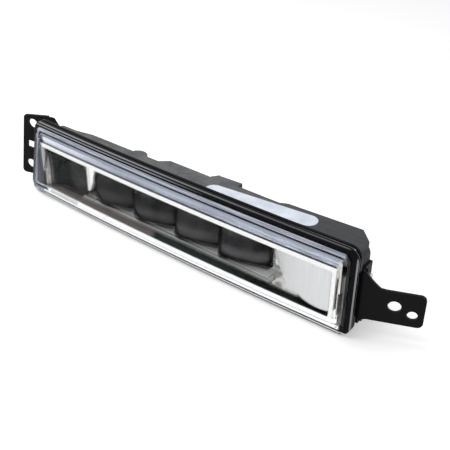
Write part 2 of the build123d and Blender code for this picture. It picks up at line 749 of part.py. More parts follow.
def make_heat_sink():
    """Finned aluminium part: plug through the back wall, edge plate and upright fins."""
    plug_front = BOARD_FRONT + BOARD_THICKNESS + PAD_THICKNESS
    plate_front = BOX_BACK + SINK_SEAL
    plate_back = plate_front + SINK_PLATE
    inset = GAP
    plug = slab_between(
        -SINK_LEFT + inset,
        SINK_RIGHT - inset,
        plug_front,
        plate_front + 1,
        -SINK_PLUG_HALF + inset,
        SINK_PLUG_HALF - inset,
    )
    edge = SINK_PLUG_HALF + SINK_EDGE
    middle = (SINK_RIGHT - SINK_LEFT) / 2
    width = SINK_RIGHT + SINK_LEFT + 2 * SINK_EDGE
    plate = facing_back(Pos(middle, 0) * RectangleRounded(width, 2 * edge, 4), plate_front, plate_back)
    sink = plug + plate
    pitch = (SINK_RIGHT + SINK_LEFT - 8) / (FIN_COUNT - 1)
    for index in range(FIN_COUNT):
        x = -SINK_LEFT + 4 + index * pitch
        sink += slab_between(
            x - FIN_WALL / 2, x + FIN_WALL / 2, plate_back - 0.5, plate_back + FIN_DEPTH, -FIN_HALF, FIN_HALF
        )
    sink = pierce(sink, screw_spots(), plate_front - 1, plate_back + 1)
    return pierce(sink, board_screw_spots(), plug_front - 1, plug_front + 4)


def make_heat_sink_seal():
    """Flat gasket under the heat sink's edge."""
    back = BOX_BACK + SINK_SEAL
    outer = SINK_PLUG_HALF + SINK_EDGE - 0.8
    seal = slab_between(-SINK_LEFT - 5, SINK_RIGHT + 5, BOX_BACK, back, -outer, outer)
    inner = SINK_PLUG_HALF + 0.5
    seal -= slab_between(-SINK_LEFT - 0.5, SINK_RIGHT + 0.5, BOX_BACK - 1, back + 1, -inner, inner)
    return pierce(seal, screw_spots(), BOX_BACK - 1, back + 1)


def screw_back(x, z, seat, length):
    """Screw driven from behind: head behind the seat, shank towards the front."""
    head = rod(x, z, SCREW_HEAD, seat, seat + SCREW_HEAD_HEIGHT)
    shank = rod(x, z, SCREW_RADIUS, seat - length, seat + 0.5)
    drive = Pos(x, z) * RegularPolygon(SOCKET_ACROSS, 6)
    socket = facing_back(drive, seat + SCREW_HEAD_HEIGHT - SOCKET_SUNK, seat + 2 * SCREW_HEAD_HEIGHT)
    return head + shank - socket


def screw_front(x, z, seat, length):
    """Screw driven from the front: head before the seat, shank towards the back."""
    head = rod(x, z, SCREW_HEAD, seat - SCREW_HEAD_HEIGHT, seat)
    shank = rod(x, z, SCREW_RADIUS, seat - 0.5, seat + length)
    drive = Pos(x, z) * RegularPolygon(SOCKET_ACROSS, 6)
    socket = facing_back(drive, seat - 2 * SCREW_HEAD_HEIGHT, seat - SCREW_HEAD_HEIGHT + SOCKET_SUNK)
    return head + shank - socket


def make_heat_sink_screws():
    """Six screws round the heat sink."""
    seat = BOX_BACK + SINK_SEAL + SINK_PLATE
    return [screw_back(x, z, seat, SINK_SCREW_LENGTH) for x, z in screw_spots()]


def make_board_screws():
    """Screws that press the board on the heat sink."""
    return [screw_front(x, z, BOARD_FRONT, BOARD_SCREW_LENGTH) for x, z in board_screw_spots()]


def make_bezel_screws():
    """Screws through the bezel's back wall."""
    seat = BEZEL_BACK - BEZEL_WALL
    return [screw_front(x, z, seat, BEZEL_SCREW_LENGTH) for x, z in bezel_screw_spots()]


def make_driver_board():
    """Driver board behind the end panel."""
    back = DRIVER_FRONT + BOARD_THICKNESS
    board = slab_between(DRIVER_LEFT, DRIVER_RIGHT, DRIVER_FRONT, back, -DRIVER_HALF, DRIVER_HALF)
    board = pierce(board, driver_spots(), DRIVER_FRONT - 1, back + 1)
    for x in pin_places():
        board -= slab_between(x - 0.9, x + 0.9, DRIVER_FRONT - 1, back + 1, -0.9, 0.9)
    return board


def make_driver_parts():
    """Coil, two capacitors and a controller on the driver board."""
    coil = rod(DRIVER_LEFT + COIL_INSET, COIL_RISE, COIL_RADIUS, DRIVER_FRONT - COIL_HEIGHT, DRIVER_FRONT)
    left = DRIVER_LEFT + CAPACITOR_INSET
    right = DRIVER_RIGHT - CAPACITOR_INSET
    front = DRIVER_FRONT - CAPACITOR_HEIGHT
    first = rod(left, -CAPACITOR_DROP, CAPACITOR_RADIUS, front, DRIVER_FRONT)
    second = rod(right, -CAPACITOR_DROP, CAPACITOR_RADIUS, front, DRIVER_FRONT)
    x = DRIVER_RIGHT - CONTROLLER_INSET
    top = CONTROLLER_BOTTOM + CONTROLLER_WIDTH
    side = CONTROLLER_SIDE / 2
    front = DRIVER_FRONT - CONTROLLER_HEIGHT
    chip = slab_between(x - side, x + side, front, DRIVER_FRONT, CONTROLLER_BOTTOM, top)
    return [coil, first, second, chip]


def make_driver_screws():
    """Screws of the driver board."""
    return [screw_front(x, z, DRIVER_FRONT, DRIVER_SCREW_LENGTH) for x, z in driver_spots()]


def pin_places():
    """Places of the inlet's pins along the lamp."""
    first = SOCKET_X - PIN_PITCH * (PIN_COUNT - 1) / 2
    return [first + PIN_PITCH * i for i in range(PIN_COUNT)]


def make_connector_socket():
    """Open shroud on the back wall, with keyways and a closed floor."""
    back = END_BAY_BACK + SOCKET_DEPTH
    flange_width = SOCKET_WIDTH + 2 * SOCKET_FLANGE
    flange_height = SOCKET_HEIGHT + 2 * SOCKET_FLANGE
    flange = facing_back(
        Pos(SOCKET_X, 0) * RectangleRounded(flange_width, flange_height, 2.5), END_BAY_BACK, END_BAY_BACK + 2
    )
    shroud = facing_back(
        Pos(SOCKET_X, 0) * RectangleRounded(SOCKET_WIDTH, SOCKET_HEIGHT, 2.5), END_BAY_BACK, back
    )
    hollow_width = SOCKET_WIDTH - 2 * SOCKET_WALL
    hollow_height = SOCKET_HEIGHT - 2 * SOCKET_WALL
    hollow = facing_back(
        Pos(SOCKET_X, 0) * RectangleRounded(hollow_width, hollow_height, 1.2), END_BAY_BACK + 3, back + 1
    )
    key = slab_between(
        SOCKET_X - 3, SOCKET_X + 3, END_BAY_BACK + 5, back, SOCKET_HEIGHT / 2 - 0.5, SOCKET_HEIGHT / 2 + 1.2
    )
    socket = flange + shroud + key - hollow
    for x in pin_places():
        half = PIN_SIZE / 2
        socket -= slab_between(x - half, x + half, END_BAY_BACK - 1, END_BAY_BACK + 4, -half, half)
    return socket


def make_connector_pins():
    """Pins from the driver board into the socket."""
    half = PIN_SIZE / 2
    end = END_BAY_BACK + SOCKET_DEPTH - PIN_RECESS
    return [slab_between(x - half, x + half, DRIVER_FRONT - 0.6, end, -half, half) for x in pin_places()]


def make_vent_cap():
    """Breather with a stem in the back wall and side slots."""
    cap = rod(VENT_X, 0, VENT_RADIUS, END_BAY_BACK, END_BAY_BACK + 3)
    cap += rod(VENT_X, 0, VENT_RADIUS - 2.5, END_BAY_BACK - WALL - 0.8, END_BAY_BACK + 1)
    for turn in range(0, 180, 60):
        slot = Pos(VENT_X, END_BAY_BACK + 1.9, 0) * Rot(0, turn, 0) * Box(2 * VENT_RADIUS + 2, 0.9, 1.6)
        cap -= slot
    return cap


def tab_plane():
    """Plane of the right tab: x along the tab, y up, normal towards the viewer."""
    turn = radians(TAB_TURN)
    return Plane(
        origin=(TAB_ROOT_X, TAB_ROOT_Y, 0),
        x_dir=(cos(turn), sin(turn), 0),
        z_dir=(sin(turn), -cos(turn), 0),
    )


def tab_bend():
    """Rounded inside of the bend between the leg and the tab."""
    turn = radians(TAB_TURN)
    leg_face = BOX_RIGHT + PLATE
    along = (leg_face - TAB_ROOT_X + PLATE * sin(turn)) / cos(turn)
    corner_y = TAB_ROOT_Y + PLATE * cos(turn) + along * sin(turn)
    reach = TAB_BEND / tan((radians(90) - turn) / 2)
    on_leg = (leg_face, corner_y + reach)
    on_tab = (leg_face + reach * cos(turn), corner_y + reach * sin(turn))
    centre = (leg_face + TAB_BEND, corner_y + reach)
    wedge = Polygon((leg_face - 0.5, corner_y - 0.5), on_tab, on_leg, align=None)
    wedge -= Pos(*centre) * Circle(TAB_BEND)
    bend = from_above(wedge, -LEG_BOTTOM, TAB_NECK_TOP)
    return bend.solids().sort_by(SortBy.VOLUME)[-1]


def make_right_bracket():
    """Steel leg on the collar's side with a bent-out tab, shaped neck and two holes."""
    neck_top = ThreePointArc((2.5, 14.0), (6.6, 8.8), (TAB_START - 1.0, TAB_TOP + 0.4))
    neck_low = ThreePointArc((8.0, -TAB_BOTTOM), (2.5, -TAB_BOTTOM - 1.0), (-0.5, -LEG_BOTTOM))
    edges = [
        Line((-0.5, TAB_NECK_TOP), (2.5, 14.0)),
        neck_top,
        Line((TAB_START - 1.0, TAB_TOP + 0.4), (TAB_START + 3, TAB_TOP)),
        Line((TAB_START + 3, TAB_TOP), (TAB_END, TAB_TOP)),
        Line((TAB_END, TAB_TOP), (TAB_END, -TAB_BOTTOM)),
        Line((TAB_END, -TAB_BOTTOM), (8.0, -TAB_BOTTOM)),
        neck_low,
        Line((-0.5, -LEG_BOTTOM), (-0.5, TAB_NECK_TOP)),
    ]
    shape = make_face(edges)
    tips = shape.vertices().group_by(Axis.X)[-1]
    shape = fillet(tips, TAB_CORNER)
    shape -= Pos(TAB_BIG_AT, TAB_BIG_Z) * Circle(TAB_BIG_HOLE)
    shape -= Pos(TAB_SMALL_AT, TAB_SMALL_Z) * Circle(TAB_SMALL_HOLE)
    tab = extrude(tab_plane() * shape, amount=-PLATE)
    leg = slab_between(
        BOX_RIGHT, BOX_RIGHT + PLATE, TAB_ROOT_Y - 1.0, END_BAY_BACK + 0.5, -LEG_BOTTOM, TAB_NECK_TOP
    )
    web_front = TAB_ROOT_Y - 1.0
    web_back = TAB_ROOT_Y + 1.6
    web = slab_between(BOX_RIGHT, TAB_ROOT_X + 0.6, web_front, web_back, -LEG_BOTTOM, TAB_NECK_TOP)
    bracket = tab + leg + web + tab_bend()
    bracket -= slab_between(BOX_RIGHT - 5, BOX_RIGHT, 0, CLEAR, -CLEAR, CLEAR)
    for y, z in leg_spots():
        bracket -= Pos(BOX_RIGHT, y, z) * Rot(0, 90, 0) * Cylinder(SCREW_RADIUS + GAP, 12)
    return bracket


def ear_plane():
    """Plane of the left ear: x towards the lamp, y up, normal towards the viewer."""
    turn = radians(EAR_TURN)
    return Plane(
        origin=(ear_leg_x(), EAR_ROOT_Y, 0),
        x_dir=(cos(turn), sin(turn), 0),
        z_dir=(sin(turn), -cos(turn), 0),
    )


def make_left_bracket():
    """Steel ear with round, square and round holes, bent back to a leg on the collar."""
    lean = tan(radians(EAR_LEAN))
    outline = Polygon(
        (-EAR_REACH + lean * EAR_TOP, EAR_TOP - EAR_TOP_FALL),
        (-EAR_REACH - lean * EAR_BOTTOM, -EAR_BOTTOM),
        (1.5, -EAR_BOTTOM),
        (1.5, EAR_TOP),
        align=None,
    )
    outer_tips = outline.vertices().sort_by(Axis.X)[:2]
    shape = fillet(outer_tips, EAR_CORNER)
    shape -= Pos(EAR_UPPER_AT, EAR_UPPER_Z) * Circle(EAR_HOLE)
    shape -= Pos(EAR_LOWER_AT, EAR_LOWER_Z) * Circle(EAR_HOLE)
    shape -= Pos(EAR_SQUARE_AT, EAR_SQUARE_Z) * Rot(0, 0, -EAR_LEAN) * Rectangle(EAR_SQUARE, EAR_SQUARE)
    ear = extrude(ear_plane() * shape, amount=-PLATE)
    side = Polygon(
        (EAR_ROOT_Y + 0.3, -EAR_BOTTOM),
        (EAR_LEG_BACK, -EAR_BOTTOM),
        (EAR_LEG_BACK, EAR_LEG_TOP),
        (EAR_LEG_BACK - 5, EAR_TOP - 3.5),
        (EAR_ROOT_Y + 0.3, EAR_TOP),
        align=None,
    )
    leg = extrude(Plane.YZ.offset(ear_leg_x()) * side, amount=PLATE)
    bracket = ear + leg
    for y, z in ear_leg_spots():
        bracket -= Pos(ear_leg_x(), y, z) * Rot(0, 90, 0) * Cylinder(SCREW_RADIUS + GAP, 12)
    return bracket


def make_bracket_screws():
    """Two screws through each bracket leg."""
    screws = []
    for y, z in leg_spots():
        screws.append(Pos(BOX_RIGHT + PLATE, y, z) * side_screw())
    for y, z in ear_leg_spots():
        screws.append(Pos(ear_leg_x(), y, z) * Rot(0, 0, 180) * side_screw())
    return screws


def side_screw():
    """Screw along +X from its seat at the origin: head outside, shank inwards."""
    head = Pos(SCREW_HEAD_HEIGHT / 2, 0, 0) * Rot(0, 90, 0) * Cylinder(SCREW_HEAD, SCREW_HEAD_HEIGHT)
    shank = Pos((0.5 - SIDE_SCREW_LENGTH) / 2, 0, 0) * Rot(0, 90, 0)
    shank *= Cylinder(SCREW_RADIUS, SIDE_SCREW_LENGTH + 0.5)
    return head + shank


def frame_shift():
    """Move that puts the right tab's large hole at the origin."""
    centre = tab_plane().from_local_coords((TAB_BIG_AT, TAB_BIG_Z, -PLATE / 2))
    return Pos(-centre.X, -centre.Y, -centre.Z)


def save(name, body):
    """Write one sub-part in the shared frame."""
    solids = []
    for item in body if isinstance(body, list) else [body]:
        solids += item.solids()
    placed = [frame_shift() * solid for solid in solids]
    whole = placed[0] if len(placed) == 1 else Compound(children=placed)
    whole.label = name
    export_step(whole, os.path.join("parts", name + ".step"))


def main():
    """Build every sub-part."""
    os.makedirs("parts", exist_ok=True)
    save("outer_lens", make_outer_lens())
    save("lens_seal", make_lens_seal())
    save("housing", make_housing())
    save("bezel", make_bezel())
    save("end_reflector", make_end_reflector())
    for index in range(1, MODULES + 1):
        save(f"projector_lens_{index}", make_lens_block(index))
        save(f"lens_holder_{index}", make_holder(index))
    save("led_board", make_led_board())
    save("led_chips", make_led_chips())
    save("thermal_pad", make_thermal_pad())
    save("heat_sink", make_heat_sink())
    save("heat_sink_seal", make_heat_sink_seal())
    save("heat_sink_screws", make_heat_sink_screws())
    save("board_screws", make_board_screws())
    save("bezel_screws", make_bezel_screws())
    save("driver_board", make_driver_board())
    save("driver_parts", make_driver_parts())
    save("driver_screws", make_driver_screws())
    save("connector_socket", make_connector_socket())
    save("connector_pins", make_connector_pins())
    save("vent_cap", make_vent_cap())
    save("right_bracket", make_right_bracket())
    save("left_bracket", make_left_bracket())
    save("bracket_screws", make_bracket_screws())


if __name__ == "__main__":
    main()
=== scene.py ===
"""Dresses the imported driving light: finishes for its pieces, the label on its hood, and the studio."""

import json
from math import cos, radians, sin

import bmesh
import bpy
from bpy.props import FloatProperty, FloatVectorProperty, PointerProperty
from mathutils import Matrix, Vector
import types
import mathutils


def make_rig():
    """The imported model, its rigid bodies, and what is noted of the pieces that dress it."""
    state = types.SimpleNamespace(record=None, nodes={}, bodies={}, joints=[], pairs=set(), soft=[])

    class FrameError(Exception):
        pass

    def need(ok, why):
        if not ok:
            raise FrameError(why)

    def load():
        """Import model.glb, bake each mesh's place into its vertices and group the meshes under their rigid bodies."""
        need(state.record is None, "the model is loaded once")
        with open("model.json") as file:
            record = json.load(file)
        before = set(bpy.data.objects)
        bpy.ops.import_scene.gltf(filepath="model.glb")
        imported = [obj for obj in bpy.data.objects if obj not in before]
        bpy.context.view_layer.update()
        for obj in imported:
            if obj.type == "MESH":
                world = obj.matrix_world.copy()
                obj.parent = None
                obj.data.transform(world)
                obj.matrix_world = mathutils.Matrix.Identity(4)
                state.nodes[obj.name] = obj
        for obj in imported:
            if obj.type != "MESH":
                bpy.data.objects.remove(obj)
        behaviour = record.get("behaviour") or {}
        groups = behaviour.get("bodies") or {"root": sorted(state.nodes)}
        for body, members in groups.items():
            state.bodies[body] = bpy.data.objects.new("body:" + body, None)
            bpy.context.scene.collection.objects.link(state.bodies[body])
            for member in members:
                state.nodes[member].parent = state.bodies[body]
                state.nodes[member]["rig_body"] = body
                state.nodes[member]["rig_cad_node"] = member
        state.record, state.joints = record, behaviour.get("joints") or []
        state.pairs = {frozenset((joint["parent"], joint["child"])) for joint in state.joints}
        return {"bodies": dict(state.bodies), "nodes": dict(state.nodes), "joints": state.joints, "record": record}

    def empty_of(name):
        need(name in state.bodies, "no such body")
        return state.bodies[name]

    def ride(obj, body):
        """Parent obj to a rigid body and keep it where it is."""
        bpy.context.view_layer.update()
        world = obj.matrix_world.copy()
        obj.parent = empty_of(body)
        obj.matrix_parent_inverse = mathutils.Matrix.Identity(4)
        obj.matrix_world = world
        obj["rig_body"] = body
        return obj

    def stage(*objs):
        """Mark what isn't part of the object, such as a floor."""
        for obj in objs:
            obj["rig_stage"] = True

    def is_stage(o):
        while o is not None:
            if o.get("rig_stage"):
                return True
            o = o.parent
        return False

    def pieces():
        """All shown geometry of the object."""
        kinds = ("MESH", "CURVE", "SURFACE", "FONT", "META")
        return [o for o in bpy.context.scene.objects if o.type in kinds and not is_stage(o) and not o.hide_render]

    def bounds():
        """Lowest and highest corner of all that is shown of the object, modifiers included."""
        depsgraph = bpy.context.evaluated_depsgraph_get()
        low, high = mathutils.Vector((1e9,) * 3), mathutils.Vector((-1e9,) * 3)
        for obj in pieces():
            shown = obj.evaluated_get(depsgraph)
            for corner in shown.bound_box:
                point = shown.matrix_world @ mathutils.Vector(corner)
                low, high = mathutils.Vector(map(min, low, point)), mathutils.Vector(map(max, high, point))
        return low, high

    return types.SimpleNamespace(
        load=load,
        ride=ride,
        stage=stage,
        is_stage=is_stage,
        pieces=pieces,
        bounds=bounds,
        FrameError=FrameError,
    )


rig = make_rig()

bl_info = {
    "name": "Driving light dressing",
    "version": (1, 0, 0),
    "blender": (4, 5, 0),
    "location": "3D View > Sidebar > Driving light",
    "description": "Finishes the pieces of an auxiliary driving light and sets up its studio",
    "category": "Object",
}

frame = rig.load()
cad_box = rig.bounds()
MILLIMETRE = 0.001
MODULE_COUNT = 5
BOW_RADIUS = 3600.0

# Places below are in millimetres from the middle of the lens front; this is where that lies.
LENS_MIDDLE = Vector((-169.269, -29.021, 8.5))

# Edges of the painted zones, in millimetres: how deep behind the bowed front, how high, or how far
# along. BACK and FRONT of ledge and sill are measured straight back from the lens front.
LIP_FRONT = 8.0
LIP_END = 14.15
RIM_FACE = 3.1
RIM_TOP = 20.7
WINDOW_DEPTH = 4.1
LEDGE_LEVEL = (-20.15, -19.9)
LEDGE_BACK = 12.0
SILL_LEVEL = (-19.88, -16.8)
SILL_FRONT = 11.65
LEFT_RETURN = -134.8
RIGHT_RIM = 137.75

# Middle of the label on the hood, and the fitted camera, in millimetres.
LABEL_MIDDLE = (64.6, 23.6, 30.0)
CAMERA_PLACE = (327.31, -354.87, 306.52)
CAMERA_LENS = 63.29
CAMERA_SENSOR = 36.0

# The studio, in metres.
STAGE_MIDDLE = (-0.17, 0.0, 0.0)
KEY_PLACE = (-0.45, -0.15, 0.95)
KEY_SIZE = 0.7
FILL_PLACE = (0.75, -0.35, 0.45)
FILL_SIZE = 0.5
FLOOR_DROP = 0.0005
FLOOR_HALF_SIZE = 3.0
FLOOR_GLOW = 0.3
FLOOR_LIT = (0.8, 0.8, 0.8)
FLOOR_SEEN = (0.97, 0.97, 0.97)

# Steps in each half-round end of the label.
LABEL_ARC_STEPS = 20


def colour_property(name, description, default):
    """Colour with a swatch in the panel."""
    return FloatVectorProperty(
        name=name, description=description, default=default, size=3, min=0.0, max=1.0, subtype="COLOR"
    )


def length_property(name, description, default):
    """Length in metres, shown in the scene's units."""
    return FloatProperty(name=name, description=description, default=default, unit="LENGTH", precision=4)


class LampFinish(bpy.types.PropertyGroup):
    """Colours of the lamp's finishes."""

    lens_tint: colour_property("Lens tint", "Colour of the clear outer lens", (0.975, 0.985, 1.0))
    smoke: colour_property("Module smoke", "Darkest colour of the lens blocks", (0.003, 0.003, 0.003))
    # Lighter tone of the blocks: their cloud, and the painted light low on their faces and along their tops.
    smoke_cloudy_and_lit: colour_property("Cloudy smoke", "Lighter colour in the lens blocks", (0.105, 0.101, 0.106))
    smoke_rib: colour_property("Prism ribs", "Colour of the fine ribs on the blocks", (0.15, 0.145, 0.15))
    housing: colour_property("Housing", "Colour of the grained black moulding", (0.050, 0.052, 0.056))
    lip: colour_property("Lip", "Colour of the polished lip round the lens", (0.002, 0.002, 0.003))
    chrome: colour_property("Chrome", "Colour of the bezel's plating", (0.82, 0.81, 0.79))
    brushed: colour_property("Brushed rim", "Brushed plating under the lens rim", (0.56, 0.60, 0.69))
    # The ledge's two colours are painted reflections of the dark interior on its plating.
    ledge: colour_property("Ledge", "Dark half of the ledge under the modules", (0.024, 0.036, 0.032))
    ledge_warm_reflection: colour_property("Ledge, warm half", "Brown-grey half of the ledge", (0.21, 0.185, 0.17))
    # The pale sill colour is a painted reflection.
    sill: colour_property("Sill", "Colour of the pale sill behind the ledge", (0.95, 0.95, 0.94))
    satin: colour_property("Satin chrome", "Colour of the end panel", (0.72, 0.722, 0.715))
    steel_paint: colour_property("Bracket paint", "Colour of the painted brackets", (0.009, 0.009, 0.010))
    aluminium: colour_property("Aluminium", "Colour of the cast heat sink", (0.52, 0.53, 0.54))
    label: colour_property("Label", "Colour of the bare label film", (0.60, 0.65, 0.75))
    seal: colour_property("Lens seal", "Colour of the pale ring behind the lens foot", (0.70, 0.71, 0.72))


class LabelSize(bpy.types.PropertyGroup):
    """Size and place of the bare label on the hood."""

    length: length_property("Length", "Label from tip to tip", 0.087)
    height: length_property("Height", "Label across", 0.0135)
    thickness: length_property("Thickness", "Thickness of the label film", 0.00025)
    turn: FloatProperty(name="Turn", description="Turn on the hood", default=radians(6.2), subtype="ANGLE")


class StudioLook(bpy.types.PropertyGroup):
    """Camera and lights."""

    azimuth: FloatProperty(
        name="Azimuth", description="Camera's place round the lamp", default=radians(37.66), subtype="ANGLE"
    )
    elevation: FloatProperty(
        name="Elevation", description="Camera's height angle", default=radians(32.51), subtype="ANGLE"
    )
    roll: FloatProperty(name="Roll", description="Camera's roll", default=radians(0.86), subtype="ANGLE")
    key_power: FloatProperty(name="Key power", description="Power of the large soft lamp", default=5.5)
    fill_power: FloatProperty(name="Fill power", description="Power of the side lamp", default=1.4)
    ambient: FloatProperty(name="Ambient", description="Strength of the white surroundings", default=0.45)


def to_frame(x, y, z):
    """Place in the shared frame, in metres, of a point measured from the lens front in millimetres."""
    return LENS_MIDDLE * MILLIMETRE + Vector((x, y, z)) * MILLIMETRE


class Graph:
    """Small helper that adds and links shader nodes."""

    def __init__(self, tree):
        self.tree = tree

    def add(self, kind, values=None, **settings):
        """Add a node, set its plain settings, and fill its inputs with values or links."""
        node = self.tree.nodes.new(kind)
        for key, value in settings.items():
            setattr(node, key, value)
        for key, value in (values or {}).items():
            socket = node.inputs[key]
            if isinstance(value, bpy.types.NodeSocket):
                self.tree.links.new(value, socket)
            else:
                socket.default_value = value
        return node

    def link(self, source, target):
        """Join an output to an input."""
        self.tree.links.new(source, target)

    def math(self, operation, first, second=0.0, clamp=False):
        """Math node with two inputs."""
        node = self.add("ShaderNodeMath", {0: first, 1: second}, operation=operation, use_clamp=clamp)
        return node.outputs[0]

    def mix_colour(self, factor, first, second, blend="MIX"):
        """Colour mix."""
        node = self.add("ShaderNodeMix", data_type="RGBA", blend_type=blend)
        for socket, value in ((node.inputs[0], factor), (node.inputs[6], first), (node.inputs[7], second)):
            if isinstance(value, bpy.types.NodeSocket):
                self.link(value, socket)
            elif isinstance(value, (int, float)):
                socket.default_value = value
            else:
                socket.default_value = (*value[:3], 1.0)
        return node.outputs[2]

    def ramp(self, value, low, high, from_low=0.0, from_high=1.0):
        """Map a value from one range to another, clamped."""
        node = self.add(
            "ShaderNodeMapRange",
            {"Value": value, "From Min": from_low, "From Max": from_high, "To Min": low, "To Max": high},
        )
        return node.outputs["Result"]


def new_group(name, inputs, outputs):
    """Shader node group with named float inputs and outputs; returns it, its graph and its ends."""
    group = bpy.data.node_groups.new(name, "ShaderNodeTree")
    for label, default in inputs.items():
        socket = group.interface.new_socket(name=label, in_out="INPUT", socket_type="NodeSocketFloat")
        socket.default_value = default
    for label in outputs:
        group.interface.new_socket(name=label, in_out="OUTPUT", socket_type="NodeSocketFloat")
    graph = Graph(group)
    start = graph.add("NodeGroupInput")
    end = graph.add("NodeGroupOutput")
    return group, graph, start, end


def make_grain_group():
    """Fine moulded grain with slow mottling."""
    group, graph, start, end = new_group(
        "Moulded grain", {"Grain scale": 2500.0, "Mottle scale": 60.0}, ("Grain", "Mottle")
    )
    place = graph.add("ShaderNodeTexCoord").outputs["Object"]
    pebbles = graph.add(
        "ShaderNodeTexVoronoi",
        {"Vector": place, "Scale": start.outputs["Grain scale"], "Randomness": 1.0},
        feature="SMOOTH_F1",
    )
    mottle = graph.add(
        "ShaderNodeTexNoise",
        {"Vector": place, "Scale": start.outputs["Mottle scale"], "Detail": 4.0, "Roughness": 0.6},
    )
    graph.link(pebbles.outputs["Distance"], end.inputs["Grain"])
    graph.link(mottle.outputs["Fac"], end.inputs["Mottle"])
    return group


def make_dust_group():
    """Light dust that lies on faces that look up."""
    group, graph, start, end = new_group("Settled dust", {"Amount": 0.2, "Scale": 220.0}, ("Dust",))
    geometry = graph.add("ShaderNodeNewGeometry")
    up = graph.add("ShaderNodeSeparateXYZ", {0: geometry.outputs["Normal"]}).outputs["Z"]
    place = graph.add("ShaderNodeTexCoord").outputs["Object"]
    noise = graph.add(
        "ShaderNodeTexNoise",
        {"Vector": place, "Scale": start.outputs["Scale"], "Detail": 5.0, "Roughness": 0.7},
    )
    facing = graph.ramp(up, 0.0, 1.0, 0.3, 1.0)
    patch = graph.ramp(noise.outputs["Fac"], 0.4, 1.0, 0.35, 0.7)
    amount = graph.math("MULTIPLY", graph.math("MULTIPLY", facing, patch), start.outputs["Amount"])
    graph.link(amount, end.inputs["Dust"])
    return group


def make_brush_group():
    """Fine parallel brushing along one axis."""
    group, graph, start, end = new_group(
        "Brushing", {"Along X": 30.0, "Along Y": 30.0, "Along Z": 900.0}, ("Streak",)
    )
    place = graph.add("ShaderNodeTexCoord").outputs["Object"]
    stretch = graph.add(
        "ShaderNodeCombineXYZ",
        {"X": start.outputs["Along X"], "Y": start.outputs["Along Y"], "Z": start.outputs["Along Z"]},
    )
    scaled = graph.add(
        "ShaderNodeVectorMath", {0: place, 1: stretch.outputs[0]}, operation="MULTIPLY"
    ).outputs["Vector"]
    noise = graph.add(
        "ShaderNodeTexNoise", {"Vector": scaled, "Scale": 1.0, "Detail": 3.0, "Roughness": 0.65}
    )
    graph.link(noise.outputs["Fac"], end.inputs["Streak"])
    return group


def make_haze_group():
    """Faint moulding flow marks and haze on polished plastic."""
    group, graph, start, end = new_group(
        "Flow haze", {"Scale": 14.0, "Fine scale": 180.0}, ("Haze", "Ripple")
    )
    place = graph.add("ShaderNodeTexCoord").outputs["Object"]
    slow = graph.add(
        "ShaderNodeTexNoise",
        {"Vector": place, "Scale": start.outputs["Scale"], "Detail": 3.0, "Distortion": 0.6},
    )
    fine = graph.add(
        "ShaderNodeTexNoise", {"Vector": place, "Scale": start.outputs["Fine scale"], "Detail": 2.0}
    )
    graph.link(slow.outputs["Fac"], end.inputs["Haze"])
    graph.link(fine.outputs["Fac"], end.inputs["Ripple"])
    return group


def make_place_group():
    """Place on the lamp, in metres: along it, behind its bowed front, and above its middle."""
    group, graph, _, end = new_group("Lamp place", {}, ("Along", "Depth", "Height", "Back"))
    place = graph.add("ShaderNodeTexCoord").outputs["Object"]
    parts = graph.add("ShaderNodeSeparateXYZ", {0: place})
    along = graph.math("SUBTRACT", parts.outputs["X"], LENS_MIDDLE.x * MILLIMETRE)
    bow = graph.math("DIVIDE", graph.math("MULTIPLY", along, along), 2 * BOW_RADIUS * MILLIMETRE)
    depth = graph.math("SUBTRACT", parts.outputs["Y"], LENS_MIDDLE.y * MILLIMETRE)
    graph.link(along, end.inputs["Along"])
    graph.link(graph.math("SUBTRACT", depth, bow), end.inputs["Depth"])
    graph.link(depth, end.inputs["Back"])
    height = graph.math("SUBTRACT", parts.outputs["Z"], LENS_MIDDLE.z * MILLIMETRE)
    graph.link(height, end.inputs["Height"])
    return group


GROUP_MAKERS = {
    "Lamp place": make_place_group,
    "Moulded grain": make_grain_group,
    "Settled dust": make_dust_group,
    "Brushing": make_brush_group,
    "Flow haze": make_haze_group,
}


def effect(graph, name, **values):
    """Place one of the shared effect groups, with its own values."""
    group = bpy.data.node_groups.get(name) or GROUP_MAKERS[name]()
    node = graph.add("ShaderNodeGroup", node_tree=group)
    for key, value in values.items():
        node.inputs[key.replace("_", " ")].default_value = value
    return node


def new_material(name, colour, roughness, metallic=0.0, **plain):
    """Principled material; returns it with its graph and shader."""
    material = bpy.data.materials.new(name)
    material.use_nodes = True
    graph = Graph(material.node_tree)
    shader = material.node_tree.nodes["Principled BSDF"]
    shader.inputs["Base Color"].default_value = (*colour[:3], 1.0)
    shader.inputs["Roughness"].default_value = roughness
    shader.inputs["Metallic"].default_value = metallic
    for key, value in plain.items():
        shader.inputs[key.replace("_", " ")].default_value = value
    return material, graph, shader


def bump(graph, shader, height, strength, distance):
    """Bump from a height, straight into the shader's normal."""
    node = graph.add("ShaderNodeBump", {"Strength": strength, "Distance": distance, "Height": height})
    graph.link(node.outputs["Normal"], shader.inputs["Normal"])


def dusty_colour(graph, shader, base, dust, dust_colour=(0.42, 0.41, 0.40)):
    """Lay dust over a base colour."""
    graph.link(graph.mix_colour(dust, base, dust_colour), shader.inputs["Base Color"])


def set_material(nodes, material):
    """Give CAD nodes a material."""
    for name in nodes:
        piece = frame["nodes"][name]
        piece.data.materials.clear()
        piece.data.materials.append(material)


def past(graph, value, edge, soft):
    """1 past an edge in millimetres, 0 before it, with a soft step."""
    return graph.ramp(value, 0.0, 1.0, (edge - soft) * MILLIMETRE, (edge + soft) * MILLIMETRE)


def before(graph, value, edge, soft):
    """1 before an edge in millimetres, 0 past it, with a soft step."""
    return graph.ramp(value, 1.0, 0.0, (edge - soft) * MILLIMETRE, (edge + soft) * MILLIMETRE)


